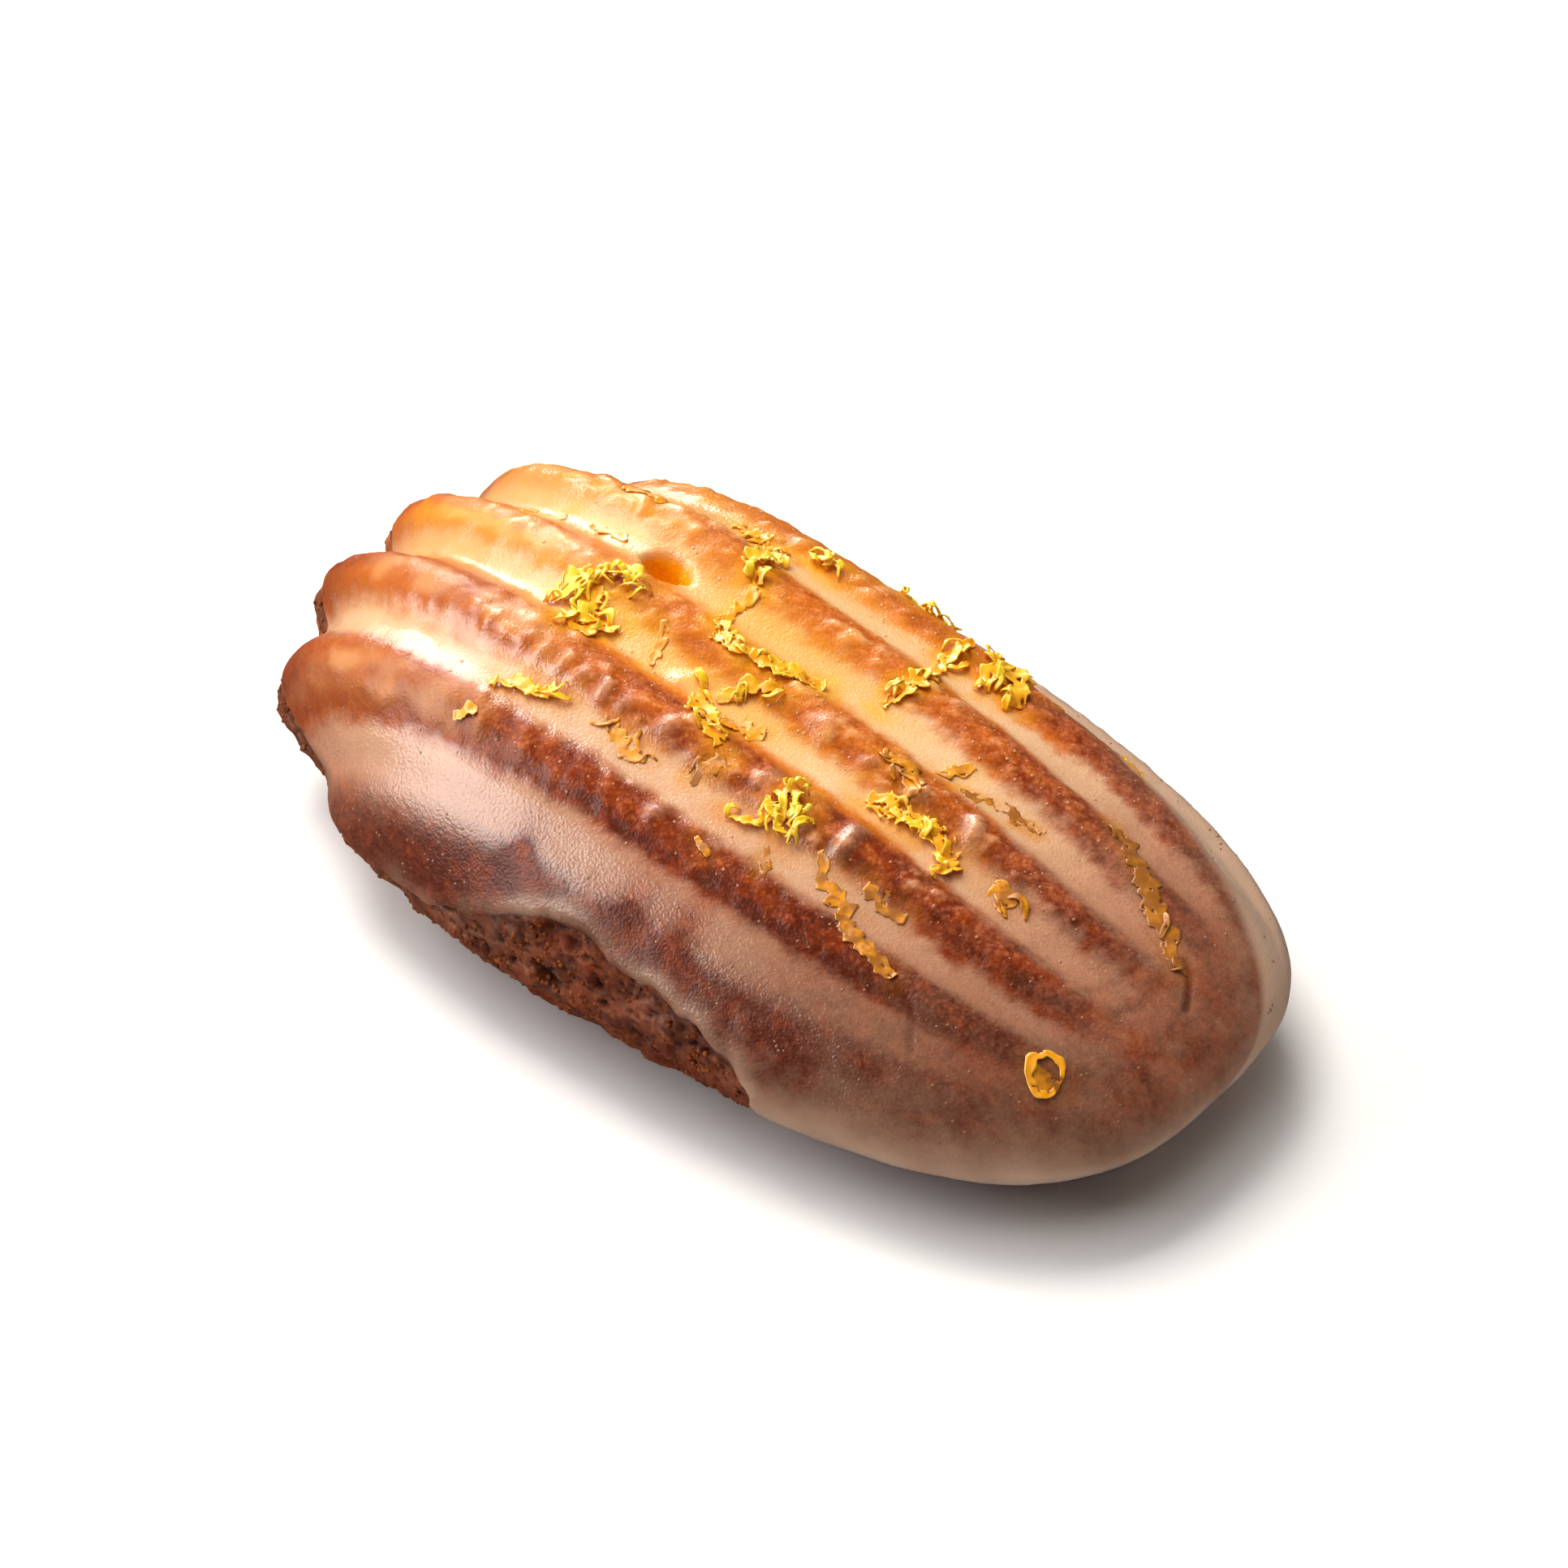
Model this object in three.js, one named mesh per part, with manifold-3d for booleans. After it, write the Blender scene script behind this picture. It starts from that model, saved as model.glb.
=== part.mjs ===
// Glazed lemon madeleine: a fluted, shell-shaped sponge cake with a low hump underneath and shreds of
// lemon zest stuck in its glaze. Millimetres, +Z up, +X towards the narrow nose, standing on z = 0.
import * as THREE from 'three';
import { mergeVertices } from 'three/addons/utils/BufferGeometryUtils.js';
import Module from 'manifold-3d';

// Driving sizes. The girdle is the widest line round the cake, where shell and hump meet.
const cakeLength = 78;
const cakeWidth = 43.2;
const crownHeight = 15.1; // top of the shell above the girdle
const humpDepth = 7.5; // lowest point of the hump below the girdle
const restDepth = 7.35; // the hump is flattened here, which leaves the spot that the cake stands on

// A profile swells from both ends to its fullest station. Stations run from -1, the wide scalloped
// end, to +1, the nose. On each side it is a superellipse with a bend and a bluntness.
const outline = { fullest: -0.134, wide: { bend: 1.8, blunt: 2.83 }, nose: { bend: 2.44, blunt: 3 } };
const ridgeLine = { fullest: -0.4, wide: { bend: 1.96, blunt: 2 }, nose: { bend: 1.25, blunt: 1.9 } };
const crossSection = { bend: 3.18, blunt: 1.545 };
const humpSection = { bend: 4.13, blunt: 1.5 };

// Flutes run from the scalloped rim to the nose. A lane is a place across the cake, -1 to +1, and
// ridges lie at whole multiples of the pitch.
const flutes = {
  pitch: 0.31,
  ridgesEachSide: 3,
  outerHalfPitch: 0.07, // from the last groove to the ridge that turns into the side wall
  flare: 1.2, // lanes spread by this factor at the wide end
  lean: 4.5, // and lean to one side there
  leanBend: 2,
  grooveDepth: 1.45,
  notchDepth: 3,
  outerNotchLoss: 1.2, // share of the extra depth that the notches lose towards the sides
  notchReach: 0.22, // stations over which a notch dies down to a groove
  ridgeRoundness: 0.2,
  fadeStart: 0.62, // the flutes run out towards the nose
  fadeEnd: 0.86,
  outerFadeEnd: 0.12, // the outer flutes run this much further
};

// Broad swells and dips in the hand-filled shell.
const swells = [
  { x: -12, y: 8.5, rise: 0.5, reach: 4 },
  { x: -25, y: -13, rise: 0.35, reach: 6 },
  { x: 2, y: -16, rise: -0.3, reach: 7 },
  { x: 24, y: 6, rise: -0.25, reach: 6 },
  { x: 27, y: -12, rise: 0.3, reach: 7 },
];

// Coarse relief of the hump, which baked in the open air.
const crumb = { depth: 0.22, wave: 5.5 };

const pit = { x: -13.3, y: 4.6, radius: 1.25, depth: 1.9 }; // burst air bubble in the crust

// Mesh density of the body.
const columnsPerPitch = 8;
const wallColumns = 4;
const lengthRows = 40;
const humpRings = 7;

const smoothStep = (from, to, value) => THREE.MathUtils.smoothstep(value, from, to);

function fullness(share, shape) {
  return Math.max(0, 1 - share ** shape.bend) ** (1 / shape.blunt);
}

function profile(station, shape) {
  const ahead = station > shape.fullest;
  const span = ahead ? 1 - shape.fullest : 1 + shape.fullest;
  return fullness(Math.abs(station - shape.fullest) / span, ahead ? shape.nose : shape.wide);
}

const halfWidthAt = (station) => (cakeWidth / 2) * profile(station, outline);

function towardsWideEnd(station) {
  return Math.max(0, (outline.fullest - station) / (1 + outline.fullest));
}

function laneWidth(station) {
  const back = towardsWideEnd(station);
  return back > 0 ? (cakeWidth / 2) * flutes.flare ** back : halfWidthAt(station);
}

const laneLean = (station) => flutes.lean * towardsWideEnd(station) ** flutes.leanBend;
const laneToY = (lane, station) => lane * laneWidth(station) + laneLean(station);
const yToLane = (y, station) => (y - laneLean(station)) / Math.max(laneWidth(station), 1e-6);

// Station at which a lane leaves the wide rim, by bisection.
function rimStation(lane) {
  let outside = -1;
  let inside = outline.fullest;
  for (let step = 0; step < 40; step += 1) {
    const middle = (outside + inside) / 2;
    if (Math.abs(laneToY(lane, middle)) < halfWidthAt(middle)) inside = middle;
    else outside = middle;
  }
  return (outside + inside) / 2;
}

function shellPoint(station, y) {
  const share = Math.min(1, Math.abs(y) / Math.max(halfWidthAt(station), 1e-6));
  const height = crownHeight * profile(station, ridgeLine) * fullness(share, crossSection);
  return new THREE.Vector3((cakeLength / 2) * station, y, height);
}

// Flute count from the middle ridge: whole on a ridge, half on a groove.
function fluteCount(lane) {
  const count = Math.abs(lane) / flutes.pitch;
  const lastGroove = flutes.ridgesEachSide - 0.5;
  if (count <= lastGroove) return count;
  const past = (count - lastGroove) * flutes.pitch / flutes.outerHalfPitch;
  return Math.min(flutes.ridgesEachSide, lastGroove + past / 2);
}

// Depth of the flutes below the ridge tops, zero or negative.
function fluteRelief(lane, station) {
  const fromRim = Math.max(0, station - rimStation(lane)) / flutes.notchReach;
  const deepest = (flutes.notchDepth - flutes.grooveDepth) * (1 - flutes.outerNotchLoss * lane ** 2);
  const extra = deepest * Math.exp(-(fromRim ** 2));
  const fadeEnd = flutes.fadeEnd + flutes.outerFadeEnd * Math.abs(lane);
  const fade = 1 - smoothStep(flutes.fadeStart, fadeEnd, station);
  const wave = Math.cos(2 * Math.PI * fluteCount(lane));
  const rounded = wave + flutes.ridgeRoundness * (1 - wave * wave) - 1;
  return ((flutes.grooveDepth + extra) / 2) * fade * rounded;
}

function swellRelief(x, y) {
  let relief = 0;
  for (const swell of swells) {
    const distance = Math.hypot(x - swell.x, y - swell.y) / swell.reach;
    relief += swell.rise * Math.exp(-(distance ** 2));
  }
  return relief;
}

function crumbRelief(x, y) {
  const turn = (2 * Math.PI) / crumb.wave;
  const coarse = Math.sin(turn * x + Math.sin(turn * 0.6 * y)) * Math.cos(turn * 0.9 * y - 0.4 * x);
  return crumb.depth * (coarse - 1);
}

// Lanes of the mesh columns: on every ridge and groove, then down the side wall.
function columnLanes() {
  const lastGroove = (flutes.ridgesEachSide - 0.5) * flutes.pitch;
  const outerRidge = lastGroove + flutes.outerHalfPitch;
  const half = [];
  const inner = (flutes.ridgesEachSide - 0.5) * columnsPerPitch;
  for (let i = 1; i <= inner; i += 1) half.push((lastGroove * i) / inner);
  const outer = columnsPerPitch / 4;
  for (let i = 1; i <= outer; i += 1) half.push(lastGroove + (flutes.outerHalfPitch * i) / outer);
  for (let i = 1; i <= wallColumns; i += 1) {
    half.push(outerRidge + (1 - outerRidge) * Math.sin((Math.PI / 2) * (i / wallColumns)));
  }
  return [...half.map((lane) => -lane).reverse(), 0, ...half];
}

// The whole cake without zest: a shell of lanes by rows on top, and rings that close under the hump.
function bodyGeometry() {
  const lanes = columnLanes();
  const points = [];
  const reliefs = [];
  const faces = [];
  const at = (row, column) => row * lanes.length + column;

  for (let row = 0; row < lengthRows; row += 1) {
    const along = (1 - Math.cos((Math.PI * row) / lengthRows)) / 2;
    for (const lane of lanes) {
      const start = rimStation(lane);
      const station = start + (1 - start) * along;
      const edge = Math.abs(lane) === 1;
      const y = edge ? lane * halfWidthAt(station) : laneToY(lane, station);
      const point = shellPoint(station, y);
      if (row === 0 || edge) point.z = 0;
      points.push(point);
      reliefs.push(fluteRelief(lane, station) + swellRelief(point.x, point.y));
    }
  }
  const nose = points.length;
  points.push(new THREE.Vector3(cakeLength / 2, 0, 0));
  reliefs.push(0);

  const lastRow = lengthRows - 1;
  const lastColumn = lanes.length - 1;
  for (let column = 0; column < lastColumn; column += 1) {
    for (let row = 0; row < lastRow; row += 1) {
      faces.push(at(row, column), at(row + 1, column), at(row + 1, column + 1));
      faces.push(at(row, column), at(row + 1, column + 1), at(row, column + 1));
    }
    faces.push(at(lastRow, column), nose, at(lastRow, column + 1));
  }

  let girdle = [];
  for (let column = 0; column <= lastColumn; column += 1) girdle.push(at(0, column));
  for (let row = 1; row <= lastRow; row += 1) girdle.push(at(row, lastColumn));
  girdle.push(nose);
  for (let row = lastRow; row > 0; row -= 1) girdle.push(at(row, 0));

  const rim = girdle.map((index) => ({ point: points[index], relief: reliefs[index] }));
  for (let ring = 1; ring <= humpRings; ring += 1) {
    const share = Math.cos((Math.PI / 2) * (ring / (humpRings + 1)));
    const depth = Math.min(restDepth, humpDepth * fullness(share, humpSection));
    const next = rim.map(({ point, relief }) => {
      const lower = new THREE.Vector3(point.x * share, point.y * share, -depth);
      points.push(lower);
      reliefs.push(depth < restDepth ? relief * share ** 6 + crumbRelief(lower.x, lower.y) : 0);
      return points.length - 1;
    });
    girdle.forEach((outer, i) => {
      const j = (i + 1) % girdle.length;
      faces.push(outer, girdle[j], next[j]);
      faces.push(outer, next[j], next[i]);
    });
    girdle = next;
  }
  const centre = points.length;
  points.push(new THREE.Vector3(0, 0, -restDepth));
  reliefs.push(0);
  girdle.forEach((index, i) => faces.push(index, girdle[(i + 1) % girdle.length], centre));

  const geometry = new THREE.BufferGeometry().setFromPoints(points);
  geometry.setIndex(faces);
  geometry.computeVertexNormals();
  const position = geometry.getAttribute('position');
  const normal = geometry.getAttribute('normal');
  const offset = new THREE.Vector3();
  points.forEach((point, i) => {
    offset.fromBufferAttribute(normal, i).multiplyScalar(reliefs[i]).add(point);
    position.setXYZ(i, offset.x, offset.y, offset.z);
  });
  return geometry;
}

// Place on the glazed top over (x, y), with the outward normal there.
function topAt(x, y) {
  const step = 0.2;
  const heightAt = (px, py) => shellPoint(px / (cakeLength / 2), py).z;
  const slopeX = (heightAt(x + step, y) - heightAt(x - step, y)) / (2 * step);
  const slopeY = (heightAt(x, y + step) - heightAt(x, y - step)) / (2 * step);
  const normal = new THREE.Vector3(-slopeX, -slopeY, 1).normalize();
  const station = x / (cakeLength / 2);
  const relief = fluteRelief(yToLane(y, station), station) + swellRelief(x, y);
  return { point: new THREE.Vector3(x, y, heightAt(x, y) + relief / normal.z), normal };
}

// Zest shreds. Each runs from one place on the top to another, bowed to its left by bow, and rises
// clear of the cake by arch in the middle.
const zestThickness = 0.45;
const zestSunk = 0.5;
const zestSegment = 1.3;
const zestCrinkle = 0.16;
const shreds = [
  { from: [-25.5, 3.5], to: [-23, 5.5], bow: -0.5, width: 1.1, arch: 0 },
  { from: [-20.5, 5], to: [-17, 5], bow: 0.2, width: 0.7, arch: 0 },
  { from: [-20.5, 8.5], to: [-17, 9], bow: 0.5, width: 0.8, arch: 0.2 },
  { from: [-17, -3.5], to: [-15, 0.5], bow: 0.4, width: 1.3, arch: 0.6 },
  { from: [-15, 0.5], to: [-12, 1], bow: 0.6, width: 1, arch: 0.7 },
  { from: [-15.2, -0.5], to: [-13.2, -3.2], bow: -0.5, width: 1.6, arch: 0.3 },
  { from: [-14.8, -4.4], to: [-12, -2], bow: -0.3, width: 1.7, arch: 0.2 },
  { from: [-13.5, 12.2], to: [-9, 12], bow: 0.6, width: 1.1, arch: 0 },
  { from: [-8.7, 11.3], to: [-7.2, 6.8], bow: -0.4, width: 1.4, arch: 0.4 },
  { from: [-7.2, 6.8], to: [-6.9, 2.6], bow: 0.3, width: 0.8, arch: 0 },
  { from: [-6.9, 2.6], to: [-3, 1.3], bow: -0.5, width: 1.3, arch: 0.2 },
  { from: [-3, 1.3], to: [1.8, 3.6], bow: -0.4, width: 1.4, arch: 0.3 },
  { from: [-2.6, -2.8], to: [0.4, 0.6], bow: 0.5, width: 0.9, arch: 0.4 },
  { from: [-4, -2.6], to: [0.5, -6], bow: -0.5, width: 1.3, arch: 0.2 },
  { from: [-1.3, -4], to: [1.6, -2.7], bow: 0, width: 1.2, arch: 0 },
  { from: [0.3, -9.3], to: [1.5, -6.8], bow: 0.3, width: 1.1, arch: 0 },
  { from: [-6.9, -8.8], to: [-3.2, -9.6], bow: -0.7, width: 1.1, arch: 0 },
  { from: [-16, -11], to: [-11, -9.3], bow: -0.2, width: 1, arch: 0.3 },
  { from: [-16.4, -14.4], to: [-15, -13.4], bow: 0, width: 0.9, arch: 0.2 },
  { from: [-6.8, 14], to: [-5, 13.6], bow: 0.2, width: 0.9, arch: 0.5 },
  { from: [-2, 16.8], to: [2.3, 17.2], bow: 0.3, width: 1, arch: 0.6 },
  { from: [5.6, 5], to: [6.3, 10], bow: -0.3, width: 1.1, arch: 0.2 },
  { from: [6.3, 10], to: [5.2, 15.5], bow: 0.4, width: 0.9, arch: 0.3 },
  { from: [8.4, 12], to: [9.4, 16.4], bow: 0.2, width: 1.1, arch: 0.3 },
  { from: [6.6, 16.3], to: [11.5, 12.6], bow: 0.6, width: 1.2, arch: 0.5 },
  { from: [12, 16], to: [13.1, 16], bow: 0, width: 0.6, arch: 0 },
  { from: [16, 16.2], to: [20, 16.2], bow: 0.4, width: 1, arch: 0.5 },
  { from: [3.8, -9.6], to: [6.9, -7.7], bow: -0.3, width: 0.6, arch: 0.2 },
  { from: [8.1, -8.5], to: [6.9, -5.8], bow: 0.3, width: 1.9, arch: 0.5 },
  { from: [9.9, -2], to: [17.4, -1.8], bow: 0.3, width: 1.4, arch: 0.3 },
  { from: [17.4, -1.8], to: [17.2, -3.6], bow: 0.3, width: 0.8, arch: 0.3 },
  { from: [9, 1.4], to: [12.3, -0.6], bow: 1, width: 1.2, arch: 0.2 },
  { from: [11.8, 2.8], to: [13.7, 5.2], bow: 0.2, width: 0.8, arch: 0.1 },
  { from: [13.8, 3], to: [19.8, 4.4], bow: 0.5, width: 0.8, arch: 0 },
  { from: [20.3, -1.6], to: [22.1, -2.2], bow: 0.2, width: 1.4, arch: 0 },
  { from: [14.5, -7.8], to: [18, -8], bow: -0.2, width: 1.1, arch: 0 },
  { from: [10.6, -7.9], to: [20.3, -12], bow: -0.9, width: 1.1, arch: 0.1 },
  { from: [22.8, 9.2], to: [33, 2.6], bow: 0.4, width: 1.2, arch: 0.2 },
  { from: [7.4, -9.8], to: [8.4, -11.9], bow: 0.2, width: 0.7, arch: 0 },
  { from: [3.4, -12.4], to: [5, -13], bow: 0, width: 0.5, arch: 0 },
];
const curl = { x: 31.8, y: -10.3, radius: 1.15, start: 200, sweep: 250, width: 0.5, rise: 0.45 };

function pathOfShred({ from, to, bow }) {
  const start = new THREE.Vector2(...from);
  const run = new THREE.Vector2(...to).sub(start);
  const left = new THREE.Vector2(-run.y, run.x).normalize();
  return {
    length: run.length(),
    place: (share) => start.clone().addScaledVector(run, share)
      .addScaledVector(left, bow * Math.sin(Math.PI * share)),
  };
}

function pathOfCurl({ x, y, radius, start, sweep }) {
  return {
    length: radius * THREE.MathUtils.degToRad(sweep),
    place: (share) => {
      const angle = THREE.MathUtils.degToRad(start + sweep * share);
      return new THREE.Vector2(x + radius * Math.cos(angle), y + radius * Math.sin(angle));
    },
  };
}

// A strip of rectangular section along a path on the top, closed at both ends.
function stripGeometry(path, width, arch, order) {
  const segments = Math.max(3, Math.round(path.length / zestSegment));
  const corners = [[-1, 0], [1, 0], [1, 1], [-1, 1]];
  const points = [];
  const faces = [];
  for (let i = 0; i <= segments; i += 1) {
    const share = i / segments;
    const ahead = path.place(Math.min(1, share + 0.05));
    const behind = path.place(Math.max(0, share - 0.05));
    const { x, y } = path.place(share);
    const { point, normal } = topAt(x, y);
    const along = new THREE.Vector3(ahead.x - behind.x, ahead.y - behind.y, 0);
    const across = new THREE.Vector3().crossVectors(normal, along).normalize();
    const taper = 0.55 + 0.45 * Math.sin(Math.PI * share);
    const crinkle = zestCrinkle * Math.sin(2.4 * i + 1.7 * order);
    const lift = arch * Math.sin(Math.PI * share) + crinkle;
    for (const [sideways, up] of corners) {
      const height = up ? zestThickness + Math.max(0, lift) : -zestSunk;
      points.push(point.clone()
        .addScaledVector(across, (sideways * width * taper) / 2 + crinkle)
        .addScaledVector(normal, height));
    }
  }
  for (let i = 0; i < segments; i += 1) {
    for (let side = 0; side < 4; side += 1) {
      const a = 4 * i + side;
      const b = 4 * i + ((side + 1) % 4);
      faces.push(a, b, b + 4, a, b + 4, a + 4);
    }
  }
  const end = 4 * segments;
  faces.push(0, 2, 1, 0, 3, 2, end, end + 1, end + 2, end, end + 2, end + 3);
  const geometry = new THREE.BufferGeometry().setFromPoints(points);
  geometry.setIndex(faces);
  return geometry;
}

const wasm = await Module();
wasm.setup();

function toSolid(geometry) {
  const bare = geometry.clone();
  bare.deleteAttribute('normal');
  bare.deleteAttribute('uv');
  const merged = mergeVertices(bare, 1e-4);
  return new wasm.Manifold(new wasm.Mesh({
    numProp: 3,
    vertProperties: new Float32Array(merged.getAttribute('position').array),
    triVerts: new Uint32Array(merged.getIndex().array),
  }));
}

function toGeometry(solid) {
  const { vertProperties, triVerts } = solid.getMesh();
  const geometry = new THREE.BufferGeometry();
  geometry.setAttribute('position', new THREE.BufferAttribute(vertProperties, 3));
  geometry.setIndex(new THREE.BufferAttribute(triVerts, 1));
  return geometry;
}

function pitSolid() {
  const { point } = topAt(pit.x, pit.y);
  const bubble = new THREE.SphereGeometry(1, 12, 8);
  bubble.scale(pit.radius, pit.radius, pit.depth);
  bubble.translate(point.x, point.y, point.z);
  return toSolid(bubble);
}

function cakeGeometry() {
  let cake = toSolid(bodyGeometry()).subtract(pitSolid());
  shreds.forEach((shred, order) => {
    cake = cake.add(toSolid(stripGeometry(pathOfShred(shred), shred.width, shred.arch, order)));
  });
  cake = cake.add(toSolid(stripGeometry(pathOfCurl(curl), curl.width, curl.rise, shreds.length)));
  const geometry = toGeometry(cake);
  geometry.computeBoundingBox();
  const { min, max } = geometry.boundingBox;
  geometry.translate(-(min.x + max.x) / 2, -(min.y + max.y) / 2, -min.z);
  return geometry;
}

const crust = new THREE.MeshStandardMaterial({ color: 0xb8703a, roughness: 0.45, metalness: 0 });
const cake = new THREE.Mesh(cakeGeometry(), crust);
cake.name = 'cake';

const madeleine = new THREE.Group();
madeleine.add(cake);

export default madeleine;
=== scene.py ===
import itertools
import math

import bpy
import numpy as np
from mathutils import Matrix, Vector
from mathutils.bvhtree import BVHTree


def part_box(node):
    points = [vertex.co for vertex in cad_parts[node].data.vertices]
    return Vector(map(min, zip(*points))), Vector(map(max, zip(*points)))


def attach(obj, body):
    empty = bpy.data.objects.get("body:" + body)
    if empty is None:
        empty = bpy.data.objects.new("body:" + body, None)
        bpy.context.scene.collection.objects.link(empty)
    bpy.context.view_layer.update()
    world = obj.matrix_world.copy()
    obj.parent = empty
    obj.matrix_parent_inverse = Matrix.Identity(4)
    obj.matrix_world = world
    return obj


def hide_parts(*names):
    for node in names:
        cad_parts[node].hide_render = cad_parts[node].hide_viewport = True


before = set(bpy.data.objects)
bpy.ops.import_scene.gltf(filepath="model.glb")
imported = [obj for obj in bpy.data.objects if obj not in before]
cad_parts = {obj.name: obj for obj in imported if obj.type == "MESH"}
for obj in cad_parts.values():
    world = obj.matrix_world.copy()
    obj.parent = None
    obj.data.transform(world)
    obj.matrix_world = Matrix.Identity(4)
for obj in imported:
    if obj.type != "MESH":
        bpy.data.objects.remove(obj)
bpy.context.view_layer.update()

mm = 0.001  # shapes are worked out in millimetres, and meshes are made in metres


def smoothStep(low, high, value):
    share = np.clip((value - low) / (high - low), 0, 1)
    return share * share * (3 - 2 * share)


def bell(middle, reach, value):
    return np.exp(-((value - middle) / reach) ** 2)


# a rule is the name of one of the values at hand, or a share that follows one of them, as these give
def step(name, start, full, before=0.0, after=1.0):
    return lambda at: before + (after - before) * smoothStep(start, full, at[name])


def hill(name, middle, reach, before=0.0, after=1.0):
    return lambda at: before + (after - before) * bell(middle, reach, at[name])


def mix(name, before, after):  # for a value that already runs from 0 to 1
    return lambda at: before + (after - before) * at[name]


def product(rules, at):
    return math.prod(at[rule] if isinstance(rule, str) else rule(at) for rule in rules)


# a layer is built up from 0 by changes, each with an amount and the rules that it is multiplied by
def add(amount, *rules):
    return lambda value, at: value + amount * product(rules, at)


def dim(amount, *rules):
    return lambda value, at: value * (1 - amount * product(rules, at))


def times(*rules):
    return lambda value, at: value * product(rules, at)


def atLeast(amount, *rules):
    return lambda value, at: np.maximum(value, amount * product(rules, at))


def cap(most):
    return lambda value, at: np.clip(value, 0, most)


def buildLayers(layers, at):  # puts each layer among the values at hand, in turn
    for name, changes in layers.items():
        at[name] = 0.0
        for change in changes:
            at[name] = change(at[name], at)


def bisect(inside, outside, isIn):  # how far from inside towards outside isIn stays true
    for _ in range(40):
        middle = (inside + outside) / 2
        within = isIn(middle)
        inside, outside = np.where(within, middle, inside), np.where(within, outside, middle)
    return inside


def runAlong(*axes):  # distance along a line of places from its first one
    return np.concatenate([[0], np.cumsum(np.sqrt(sum(np.diff(axis) ** 2 for axis in axes)))])


def awayFrom(line, places):  # distance of each place to a line of two or more
    away = np.full(len(places), 99.0)
    for start, end in zip(line[:-1], line[1:]):
        along = np.subtract(end, start)
        share = np.clip((places - start) @ along / (along @ along), 0, 1)
        away = np.minimum(away, np.linalg.norm(places - start - share[:, None] * along, axis=1))
    return away


def spots(x, y, places):  # round soft spots, each given by its x, y, strength and reach
    return sum(most * bell(0, reach, np.hypot(x - spotX, y - spotY)) for spotX, spotY, most, reach in places)


def hashCells(cells, seed):  # one repeatable number from 0 to 1 for each whole-numbered cell
    mixed = cells[..., 0] * 374761393 + cells[..., 1] * 668265263 + cells[..., 2] * 1442695041
    mixed = (mixed + seed * 1274126177) & 0xffffffff
    mixed = ((mixed ^ (mixed >> 13)) * 1274126177) & 0xffffffff
    return ((mixed ^ (mixed >> 16)) & 0xffff) / 65535


def softNoise(points, size, seed=0):  # smooth lumps about as large as size, from about -1 to 1
    scaled = points / size
    cell = np.floor(scaled).astype(np.int64)
    inside = scaled - cell
    fade = inside ** 3 * (inside * (inside * 6 - 15) + 10)
    total = np.zeros(len(points))
    for corner in itertools.product((0, 1), repeat=3):
        corner = np.array(corner)
        offset = inside - corner
        slopes = [hashCells(cell + corner, seed * 7 + axis) * 2 - 1 for axis in range(3)]
        weight = np.prod(np.where(corner == 1, fade, 1 - fade), axis=1)
        total += weight * sum(slope * offset[:, axis] for axis, slope in enumerate(slopes))
    return total * 1.7


def layeredNoise(points, size, layers=3, seed=0):
    return sum(softNoise(points, size / 2 ** k, seed + k) / 2 ** k for k in range(layers))


def cellNoise(points, size, seed=0):  # distance to the nearest scattered point, in cell sizes
    scaled = points / size
    cell = np.floor(scaled).astype(np.int64)
    nearest = np.full(len(points), 9.0)
    for shift in itertools.product((-1, 0, 1), repeat=3):
        there = cell + np.array(shift)
        centre = np.stack([hashCells(there, seed * 7 + axis) for axis in range(3)], axis=1) + there
        nearest = np.minimum(nearest, np.linalg.norm(scaled - centre, axis=1))
    return nearest


def noisesAt(points, recipe):  # soft noises by name, each from its size, its seed and any stretch
    made = {}
    for name, (size, seed, *stretch) in recipe.items():
        made[name] = softNoise(points * np.array(stretch or [1]), size, seed)
    return made


# the form of the cake, as the frame has it

madeleine = {
    "length": 78.0, "width": 43.2, "crown": 15.1,  # crown is the height over the girdle
    "humpDepth": 7.5, "restDepth": 7.35,
    "outline": {"fullest": -0.134, "wide": (1.8, 2.83), "nose": (2.44, 3.0)},
    "ridgeLine": {"fullest": -0.4, "wide": (1.96, 2.0), "nose": (1.25, 1.9)},
    "crossSection": (3.18, 1.545), "humpSection": (4.13, 1.5),
}
flutes = {
    "pitch": 0.31, "ridgesEachSide": 3, "outerHalfPitch": 0.07, "flare": 1.2, "lean": 4.5,
    "grooveDepth": 1.45, "notchDepth": 3.0, "outerNotchLoss": 1.2, "notchReach": 0.22,
    "roundness": 0.2, "fadeStart": 0.62, "fadeEnd": 0.86, "outerFadeEnd": 0.12, "hemPower": 6,
    "drift": 0.036, "driftSlope": 0.08, "driftSets": (-0.75, -0.15),  # how they stray to the far side
}
swells = [  # x, y, rise, reach of the broad swells and dips
    (-12, 8.5, 0.5, 4), (-25, -13, 0.35, 6), (2, -16, -0.3, 7), (24, 6, -0.25, 6), (27, -12, 0.3, 7),
]
pit = {  # walls are how much of it slopes, towards the nose and away from it
    "x": -13.1, "y": 4.5, "long": 2.0, "wide": 1.35, "deep": 3.0, "turn": -8, "walls": (0.12, 0.55),
    "ragged": 0.2, "raggedSize": 0.8, "innerDeep": 1.8, "crustDeep": 4.5,
}
halfLength = madeleine["length"] / 2
fullHalfWidth = madeleine["width"] / 2


def fullness(share, shape):
    bend, blunt = shape
    return np.maximum(0, 1 - np.abs(share) ** bend) ** (1 / blunt)


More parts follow.
